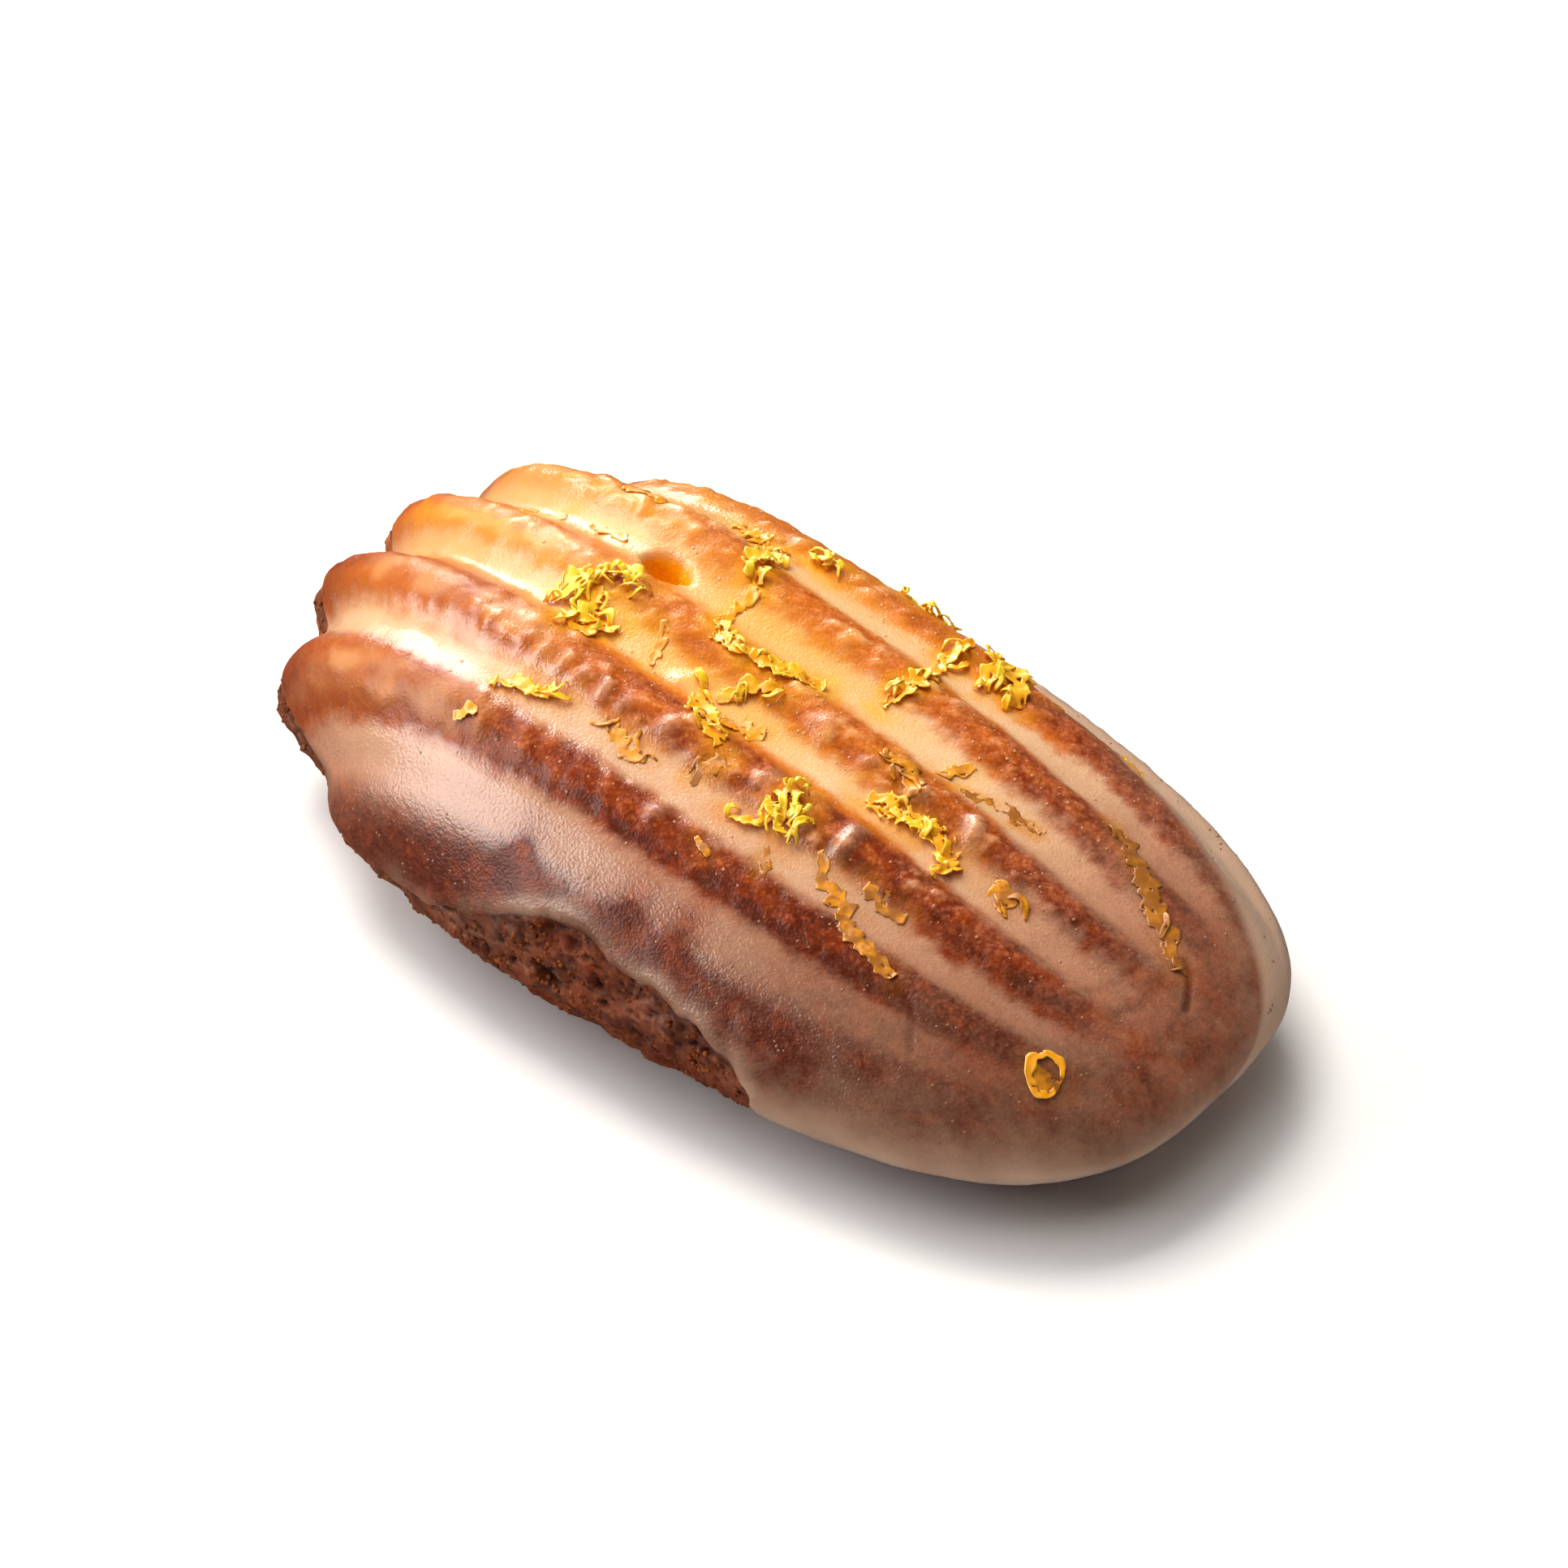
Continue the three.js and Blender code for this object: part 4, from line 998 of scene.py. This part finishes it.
def makeCrust():
    points, relief, ringCount = crustPoints()
    count = crustRings["around"]
    index = np.arange(ringCount * count).reshape(ringCount, count)
    right = np.roll(index, -1, axis=1)
    quads = np.stack([index[:-1], index[1:], right[1:], right[:-1]], axis=-1).reshape(-1, 4)
    topPole, bottomPole = np.full(count, ringCount * count), np.full(count, ringCount * count + 1)
    caps = [(topPole, index[0], right[0]), (bottomPole, right[-1], index[-1])]
    triangles = np.concatenate([np.stack(cap, axis=1) for cap in caps])
    normals = vertexNormals(points, np.concatenate([splitQuads(quads), triangles]))
    height = points[:, 2]
    at = noisesAt(points, crustNoises)
    at.update({name: cellNoise(points * cellStretch, *cells) for name, cells in crustCells.items()})
    at.update({
        "x": points[:, 0], "z": height, "overRest": height + madeleine["restDepth"],
        "distance": edgeDistance(points), "fine": layeredNoise(points, 0.9, 2, 45),
    })
    buildLayers(crustLayers, at)
    offset = relief + at["rise"] - pit["crustDeep"] * pitDepth(points, 0.9)
    formed = points + normals * offset[:, None]
    formed[:, 2] = np.maximum(formed[:, 2], -madeleine["restDepth"])
    paints = {name: at[name] for name in ("poreShade", "film", "crumbly")}
    # the crust takes the bake tone, with its painted shade towards the nose and the near side
    paints["bakeAndShade"] = bakeAndShadeAt(points)
    print("crust", 2 * len(quads) + len(triangles), "triangles")
    return makePiece("bakedCrust", formed, quads, triangles, crustFinish(), paints)


def crustFinish():
    finish, tree, surface = newFinish("crust", crustSurface)
    poreShade, film, bakeAndShade = (readPaint(tree, name) for name in ("poreShade", "film", "bakeAndShade"))
    layers = [  # how much of it shows, and its colour
        (mapRange(tree, objectNoise(tree, 3.0, 4), 0.42, 0.62, 0, 0.75), (62, 18, 4)),
        (mapRange(tree, objectNoise(tree, 0.7, 5), 0.5, 0.7, 0, 0.5), (160, 78, 26)),
        (calculate(tree, "MULTIPLY", film, 0.42), (142, 102, 80)),
        # pores and pits painted dark as shade in the holes
        (calculate(tree, "MULTIPLY", poreShade, 0.75), (58, 20, 5)),
    ]
    # crust base runs from dark to light bake, darker where the bake tone carries painted shade
    base = mixColours(tree, bakeAndShade, colour(104, 38, 10), colour(176, 90, 30))
    for share, tint in layers:
        base = mixColours(tree, share, base, colour(*tint))
    tree.links.new(base, surface.inputs["Base Color"])
    tree.links.new(mapRange(tree, film, 0.1, 0.7, 0.62, 0.4), surface.inputs["Roughness"])
    tree.links.new(bumpOf(tree, objectNoise(tree, 0.35, 4), 0.5, 0.2), surface.inputs["Normal"])
    return finish


bakedCrust = makeCrust()
settle(bakedCrust)


# zest: thin crinkled strips of rind, some lying free and some steeped in the glaze

zestLook = {  # sizes in mm; a noise is given by its share, its size and what is added to the seed
    "step": 0.15, "column": 0.13, "columns": (3, 14), "lift": 0.07, "sunk": 0.08,
    "thickness": 0.09, "steepedThickness": 0.5,
    "wander": (0.3, 2.2), "ragged": [(0.75, 0.7, 50), (0.375, 0.35, 70)], "narrowest": 0.06,
    "taper": (0.35, 0.75, 0.6), "fullWidth": 1.16, "meshWidth": 1.3,
    "twist": (39, 3.1, 90), "steepedTwist": 0.2, "cupping": 0.3, "deepest": 0.05, "smoothing": 3,
    "crinkle": [(0.17, 0.75, 0), (0.085, 0.3375, 1)], "steepedCrinkle": 0.10, "steepedRise": 0.4,
    # liftShadeFade is the lift over the glaze across which the zest's painted shade fades out
    "curl": 0.25, "curlReach": 0.5, "curlBias": 0.3, "liftShadeFade": (0.1, 0.7),
    "tearSize": [0.95, 0.42, 1], "tears": [(1, 1.0, 3), (0.5, 0.45, 6)], "tear": 0.42, "steepedTear": 0.3,
    "edgeTear": 0.35, "thinStrip": (0.6, 0.3),
}
zestCurl = {
    "x": 31.8, "y": -10.3, "radius": 1.1, "start": 37, "sweep": 305, "steps": 34, "width": 0.5, "arch": 0.1,
    "steeped": 0.3, "seed": 777,
}
looseStrands = {  # drawn beside a shred, each range from its least to its most
    "forEach": 4, "swing": 1.0, "half": (0.35, 0.9), "stretch": (0.8, 1.4), "aside": 0.5, "bow": 0.7,
    "width": (0.14, 0.5), "lift": (0.05, 0.4), "twist": 1.6, "steeped": 0.7, "seed": 12,
}
zestSurface = {
    "Roughness": 0.42, "Coat Weight": 0.4, "Coat Roughness": 0.22, "Subsurface Weight": 0.2,
    "Subsurface Radius": (1.0, 0.9, 0.3), "Subsurface Scale": 0.0002,
}


def surfaceHeights(tree, plan):  # height of the glaze over the girdle under each place in plan
    heights = []
    for x, y in plan:
        above = Vector(((x + girdlePlace[0]) * mm, (y + girdlePlace[1]) * mm, 60 * mm))
        hit = tree.ray_cast(above, Vector((0, 0, -1)))[0]
        heights.append(hit.z / mm - girdlePlace[2] if hit else 0.0)
    return np.array(heights)


def lineNoise(run, size, seed):  # noise along a line, from about -1 to 1
    aside = np.ones(len(run))
    return softNoise(np.stack([run, 7.3 * seed * aside, 2.9 * aside], axis=1), size, seed)


def straightPath(start, end, bow):
    start, run = np.array(start), np.subtract(end, start)
    length = np.hypot(*run)
    share = np.linspace(0, 1, max(5, round(length / zestLook["step"])) + 1)[:, None]
    left = np.array([-run[1], run[0]]) / length
    return start + run * share + left * bow * np.sin(np.pi * share)


def ribbonPlan(path, width, steeped, seed, twist):  # where its columns lie, seen from above
    ahead = np.gradient(path, axis=0)
    stepLengths = np.hypot(*ahead.T)
    ahead /= stepLengths[:, None]
    run = np.cumsum(stepLengths)
    share = (run - run[0]) / (run[-1] - run[0])
    side = np.stack([-ahead[:, 1], ahead[:, 0]], axis=1)
    wander, wanderSize = zestLook["wander"]
    path = path + side * (wander * lineNoise(run, wanderSize, seed))[:, None]
    tip, body, blunt = zestLook["taper"]
    taper = tip + body * np.sin(np.pi * np.clip(share * 0.96 + 0.02, 0, 1)) ** blunt
    halves = []
    for k in (1, 2):  # left and right of the middle
        half = zestLook["fullWidth"] / 2 * width * taper
        noises = (depth * lineNoise(run, size, seed + shift * k) for depth, size, shift in zestLook["ragged"])
        half = half * (1 + sum(noises))
        halves.append(np.maximum(zestLook["narrowest"], half)[:, None])
    columns = int(np.clip(round(zestLook["meshWidth"] * width / zestLook["column"]), *zestLook["columns"]))
    across = np.linspace(-1, 1, columns + 1)
    lateral = np.where(across < 0, *halves) * across
    angle, angleSize, shift = zestLook["twist"]
    loose = 1 + (zestLook["steepedTwist"] - 1) * steeped
    turn = np.radians(angle * twist) * loose * lineNoise(run, angleSize, seed + shift)[:, None]
    plan = path[:, None] + side[:, None] * (lateral * np.cos(turn))[..., None]
    return path, run, share[:, None], across, lateral, plan, lateral * np.sin(turn)


# grid of points, which of its cells are whole, and each point's share to the edge and of its lift over the
# glaze, which sets its painted shade
def ribbon(tree, path, width, arch, steeped, seed, twist=1.0, lift=0.0):
    path, run, share, across, lateral, plan, rise = ribbonPlan(path, width, steeped, seed, twist)
    flatPlan = plan.reshape(-1, 2)
    close = surfaceHeights(tree, flatPlan).reshape(lateral.shape)
    middle = surfaceHeights(tree, path)[:, None]
    smooth = middle
    for _ in range(zestLook["smoothing"]):
        smooth = np.maximum(middle, (np.roll(smooth, 1, 0) + smooth + np.roll(smooth, -1, 0)) / 3)
    free = 1 - steeped
    base = close * steeped + (close + smooth) / 2 * free
    place = np.concatenate([flatPlan, base.reshape(-1, 1)], axis=1)
    crinkle = sum(share * softNoise(place, size, seed + shift) for share, size, shift in zestLook["crinkle"])
    rise += zestLook["cupping"] * free * lateral ** 2 / width
    rise += (1 + (zestLook["steepedCrinkle"] - 1) * steeped) * crinkle.reshape(lateral.shape)
    rise += (arch + lift) * np.sin(np.pi * share) + zestLook["lift"] * free - zestLook["sunk"] * steeped
    for away, end, shift in ((run - run[0], run[:1], 4), (run[-1] - run, run[-1:], 5)):
        curl = zestLook["curl"] * free * (lineNoise(end, 1.0, seed + shift) + zestLook["curlBias"])
        rise += (curl * np.exp(-away / zestLook["curlReach"]))[:, None]
    rise *= 1 + (zestLook["steepedRise"] - 1) * steeped
    height = np.maximum(base + rise, close - zestLook["deepest"])
    grid = np.concatenate([plan, height[..., None]], axis=2)
    even = np.ones(lateral.shape)
    flat = np.stack([run[:, None] * even, lateral, 3.7 * seed * even], axis=-1)
    flat = (flat[:-1, :-1] + flat[1:, 1:]).reshape(-1, 3) / 2 / zestLook["tearSize"]
    torn = sum(share * softNoise(flat, size, seed + shift) for share, size, shift in zestLook["tears"])
    edge = np.abs(across[:-1] + across[1:]) / 2
    thin, whole = zestLook["thinStrip"]
    limit = zestLook["tear"] + zestLook["steepedTear"] * steeped
    limit = limit - zestLook["edgeTear"] * edge ** 3 if width > thin else limit + whole
    isWhole = torn.reshape(len(run) - 1, -1) < limit
    return grid, isWhole, np.abs(across) * even, smoothStep(*zestLook["liftShadeFade"], height - close)


def thicken(grid, whole, thickness):  # a closed sheet on both sides of a grid, walled where cells are missing
    rows, columns = grid.shape[:2]
    below = rows * columns
    normals = np.cross(np.gradient(grid, axis=1), np.gradient(grid, axis=0))
    normals *= thickness / 2 / np.maximum(np.linalg.norm(normals, axis=2, keepdims=True), 1e-9)
    points = np.concatenate([(grid + normals).reshape(-1, 3), (grid - normals).reshape(-1, 3)])
    index = np.arange(below).reshape(rows, columns)
    a, b, c, d = index[:-1, :-1], index[:-1, 1:], index[1:, 1:], index[1:, :-1]
    quads = [np.stack([a, b, c, d], axis=-1)[whole], np.stack([a, d, c, b], axis=-1)[whole] + below]
    padded = np.pad(whole, 1)
    sides = [  # whether the next cell is there, and the edge towards it
        (padded[:-2, 1:-1], b, a), (padded[2:, 1:-1], d, c),
        (padded[1:-1, :-2], a, d), (padded[1:-1, 2:], c, b),
    ]
    for beside, first, second in sides:
        p, q = first[whole & ~beside], second[whole & ~beside]
        quads.append(np.stack([p, q, q + below, p + below], axis=-1))
    used, quads = np.unique(np.concatenate(quads), return_inverse=True)
    return points[used], quads.reshape(-1, 4), used % below


def strandBeside(draw, tree, shred, seed):
    start, end, _, width, arch, steeped, _ = shred
    run = np.subtract(end, start)
    heading = math.atan2(run[1], run[0]) + draw.uniform(-looseStrands["swing"], looseStrands["swing"])
    half = draw.uniform(*looseStrands["half"]) * np.array([math.cos(heading), math.sin(heading)])
    half = half * draw.uniform(*looseStrands["stretch"])
    aside = looseStrands["aside"]
    centre = start + run * draw.uniform(0, 1) + draw.uniform(-aside, aside, 2) * width
    path = straightPath(centre - half, centre + half, draw.uniform(-looseStrands["bow"], looseStrands["bow"]))
    thin, lift = draw.uniform(*looseStrands["width"]), draw.uniform(*looseStrands["lift"])
    steeped = steeped * looseStrands["steeped"]
    return ribbon(tree, path, thin, arch, steeped, seed, looseStrands["twist"], lift)


def makeZest():
    tree = BVHTree.FromObject(glazeCoat, bpy.context.evaluated_depsgraph_get())
    draw = np.random.default_rng(looseStrands["seed"])
    strips = []
    for k, shred in enumerate(shreds):
        start, end, bow, width, arch, steeped, strands = shred
        strips.append((ribbon(tree, straightPath(start, end, bow), width, arch, steeped, 100 + k), steeped))
        for strand in range(looseStrands["forEach"] * strands):
            strips.append((strandBeside(draw, tree, shred, 300 + 7 * k + strand), steeped))
    angle = np.radians(zestCurl["start"] + np.linspace(0, zestCurl["sweep"], zestCurl["steps"]))
    ring = zestCurl["radius"] * np.stack([np.cos(angle), np.sin(angle)], axis=1)
    path = ring + [zestCurl["x"], zestCurl["y"]]
    steeped = zestCurl["steeped"]
    curl = ribbon(tree, path, zestCurl["width"], zestCurl["arch"], steeped, zestCurl["seed"])
    strips.append((curl, steeped))
    points, quads, edges, liftShades, steeps, total = [], [], [], [], [], 0
    for (grid, whole, edge, high), steeped in strips:
        thickness = zestLook["thickness"] * (1 + (zestLook["steepedThickness"] - 1) * steeped)
        closed, faces, origin = thicken(grid, whole, thickness)
        points.append(closed)
        quads.append(faces + total)
        edges.append(edge.ravel()[origin])
        liftShades.append(high.ravel()[origin])
        steeps.append(np.full(len(closed), steeped))
        total += len(closed)
    points, quads = np.concatenate(points), np.concatenate(quads)
    print("zest", 2 * len(quads), "triangles")
    paints = {"edge": np.concatenate(edges), "high": np.concatenate(liftShades), "steeped": np.concatenate(steeps)}
    return makePiece("zestShreds", points, quads, [], zestFinish(), paints)


def zestFinish():
    finish, tree, surface = newFinish("zest", zestSurface)
    edge, high, steeped = (readPaint(tree, name) for name in ("edge", "high", "steeped"))
    soak = addUp(tree, steeped, mapRange(tree, objectNoise(tree, 0.9, 3), 0.35, 0.65, -0.14, 0.18))
    # painted shade: lower parts of the zest darker orange near the glaze, higher parts lemon yellow
    fresh = mixColours(tree, high, colour(252, 164, 8), colour(255, 208, 32))
    rind = mixColours(tree, mapRange(tree, soak, 0.1, 0.45), fresh, colour(236, 152, 14))
    rind = mixColours(tree, mapRange(tree, soak, 0.4, 0.9), rind, colour(156, 92, 16))
    rim, dry = mapRange(tree, edge, 0.75, 1.0, 0, 0.35), mapRange(tree, steeped, 0.2, 0.7, 1, 0)
    rind = mixColours(tree, calculate(tree, "MULTIPLY", rim, dry), rind, colour(255, 228, 96))
    tree.links.new(rind, surface.inputs["Base Color"])
    return finish


zestShreds = makeZest()
settle(zestShreds)


# small things that are scattered, each by a node tree

scattered = {  # how many to a square millimetre, radius in mm, height over width, and the sphere's detail
    "airBubbles": {"density": 0.7, "radius": (0.05, 0.14), "flatness": 0.4, "detail": 2, "seed": 5},
    "crumbs": {"density": 2.6, "radius": (0.09, 0.25), "flatness": 0.75, "detail": 1, "seed": 9},
}
bubbleSurface = {
    "Roughness": 0.3, "Subsurface Weight": 0.3, "Subsurface Radius": (1.0, 0.6, 0.4),
    "Subsurface Scale": 0.0004,
}
crumbSurface = {"Roughness": 0.7, "Specular IOR Level": 0.1}


def scatterTree(name, paint, detail):  # balls of many sizes over a mesh, more where the paint is strong
    tree = bpy.data.node_groups.new(name, "GeometryNodeTree")
    tree.interface.new_socket("Geometry", in_out="INPUT", socket_type="NodeSocketGeometry")
    for label in ("Density", "Smallest", "Largest", "Flatness"):
        tree.interface.new_socket(label, in_out="INPUT", socket_type="NodeSocketFloat")
    tree.interface.new_socket("Seed", in_out="INPUT", socket_type="NodeSocketInt")
    tree.interface.new_socket("Material", in_out="INPUT", socket_type="NodeSocketMaterial")
    tree.interface.new_socket("Geometry", in_out="OUTPUT", socket_type="NodeSocketGeometry")
    given = tree.nodes.new("NodeGroupInput").outputs
    painted = addNode(tree, "GeometryNodeInputNamedAttribute", {"Name": paint}, data_type="FLOAT")
    density = calculate(tree, "MULTIPLY", painted.outputs["Attribute"], given["Density"])
    spread = addNode(
        tree, "GeometryNodeDistributePointsOnFaces",
        {"Mesh": given["Geometry"], "Density": density, "Seed": given["Seed"]}, distribute_method="RANDOM",
    )
    limits = {2: given["Smallest"], 3: given["Largest"], 8: given["Seed"]}
    size = addNode(tree, "FunctionNodeRandomValue", limits, data_type="FLOAT")
    high = calculate(tree, "MULTIPLY", size.outputs[1], given["Flatness"])
    scale = addNode(tree, "ShaderNodeCombineXYZ", {0: size.outputs[1], 1: size.outputs[1], 2: high})
    ball = addNode(tree, "GeometryNodeMeshIcoSphere", {"Radius": 1.0, "Subdivisions": detail})
    placed = addNode(tree, "GeometryNodeInstanceOnPoints", {
        "Points": spread.outputs["Points"], "Instance": ball.outputs["Mesh"],
        "Rotation": spread.outputs["Rotation"], "Scale": scale.outputs[0],
    })
    real = addNode(tree, "GeometryNodeRealizeInstances", {"Geometry": placed.outputs[0]})
    smooth = addNode(tree, "GeometryNodeSetShadeSmooth", {"Geometry": real.outputs[0]})
    dress = {"Geometry": smooth.outputs[0], "Material": given["Material"]}
    dressed = addNode(tree, "GeometryNodeSetMaterial", dress)
    end = tree.nodes.new("NodeGroupOutput")
    tree.links.new(dressed.outputs[0], end.inputs[0])
    return tree


def scatter(name, host, paint, material):
    sizes = scattered[name]
    piece = bpy.data.objects.new(name, host.data.copy())
    bpy.context.scene.collection.objects.link(piece)
    tree = scatterTree(name, paint, sizes["detail"])
    smallest, largest = sizes["radius"]
    given = {
        "Density": sizes["density"] / mm ** 2, "Smallest": smallest * mm, "Largest": largest * mm,
        "Flatness": sizes["flatness"], "Seed": sizes["seed"], "Material": material,
    }
    modifier = piece.modifiers.new(name, "NODES")
    modifier.node_group = tree
    for socket in tree.interface.items_tree:
        if socket.in_out == "INPUT" and socket.name in given:
            modifier[socket.identifier] = given[socket.name]
    graph = bpy.context.evaluated_depsgraph_get()
    result = bpy.data.meshes.new_from_object(piece.evaluated_get(graph), depsgraph=graph)
    spare = piece.data
    piece.modifiers.clear()
    piece.data = result
    bpy.data.meshes.remove(spare)
    print(name, len(result.polygons), "triangles")
    return piece


def bubbleFinish():
    finish, tree, surface = newFinish("bubble", bubbleSurface)
    # bubble colour follows the bake tone and its painted shade
    tints = [(0.0, (128, 84, 62)), (0.3, (180, 116, 80)), (1.0, (240, 172, 96))]
    tint = ramp(tree, readPaint(tree, "bakeAndShade"), tints)
    tree.links.new(tint, surface.inputs["Base Color"])
    return finish


def crumbFinish():
    finish, tree, surface = newFinish("crumb", crumbSurface)
    tints = [(0.3, (76, 30, 9)), (0.5, (118, 54, 18)), (0.7, (156, 86, 36))]
    tint = ramp(tree, objectNoise(tree, 0.8, 2), tints)
    tree.links.new(tint, surface.inputs["Base Color"])
    return finish


airBubbles = scatter("airBubbles", glazeCoat, "bubbly", bubbleFinish())
settle(airBubbles)
crumbs = scatter("crumbs", bakedCrust, "crumbly", crumbFinish())
settle(crumbs)


# floor and light

studio = {"floorSize": 1.6, "worldStrength": 0.10}
lights = {  # turn, rise, distance, width, height, power, tint, and whether it makes only highlights or none
    "shineFar": (-130, 26, 0.7, 0.24, 0.50, 4.8, (1.0, 0.97, 0.94), True),
    "shineSide": (-95, 46, 0.7, 0.60, 0.34, 4.2, (1.0, 0.97, 0.94), True),
    "shineNear": (-43, 21, 0.7, 0.48, 0.50, 7.0, (1.0, 0.97, 0.94), True),
    "key": (-112, 62, 0.7, 0.40, 0.35, 4.5, (1.0, 0.95, 0.88), False),
    "strip": (-60, 36, 0.7, 0.75, 0.15, 3.0, (1.0, 0.97, 0.95), False),
    "low": (-112, 25, 0.7, 0.5, 0.14, 0.6, (1.0, 0.97, 0.95), False),
    "fill": (-30, 82, 0.9, 0.7, 0.7, 3.2, (1.0, 0.98, 0.96), False),
}


def makeFloor():
    half = studio["floorSize"] / 2
    mesh = bpy.data.meshes.new("floor")
    corners = [(-half, -half, 0), (half, -half, 0), (half, half, 0), (-half, half, 0)]
    mesh.from_pydata(corners, [], [(0, 1, 2, 3)])
    finish = newFinish("paleFloor", {"Base Color": colour(246, 246, 246), "Roughness": 0.8})
    mesh.materials.append(finish[0])
    floor = bpy.data.objects.new("floor", mesh)
    bpy.context.scene.collection.objects.link(floor)
    floor.visible_glossy = False


def makeLight(name, turn, rise, distance, width, height, power, tint, shines):
    lamp = bpy.data.lights.new(name, "AREA")
    lamp.shape = "RECTANGLE"
    lamp.size = width
    lamp.size_y = height
    lamp.energy = power
    lamp.color = tint
    holder = bpy.data.objects.new(name, lamp)
    bpy.context.scene.collection.objects.link(holder)
    towards = aimFrom(turn, rise)
    holder.location = towards * distance + Vector((0, 0, 0.01))
    holder.rotation_euler = towards.to_track_quat("Z", "Y").to_euler()
    holder.visible_glossy = shines
    holder.visible_diffuse = not shines


def makeWorld():
    world = bpy.data.worlds.new("studio")
    world.use_nodes = True
    backdrop = world.node_tree.nodes["Background"]
    backdrop.inputs["Color"].default_value = (1, 1, 1, 1)
    backdrop.inputs["Strength"].default_value = studio["worldStrength"]
    bpy.context.scene.world = world


makeFloor()
for lightName, light in lights.items():
    makeLight(lightName, *light)
makeWorld()
bpy.context.scene.view_settings.view_transform = "Standard"
print("floor and lights set")
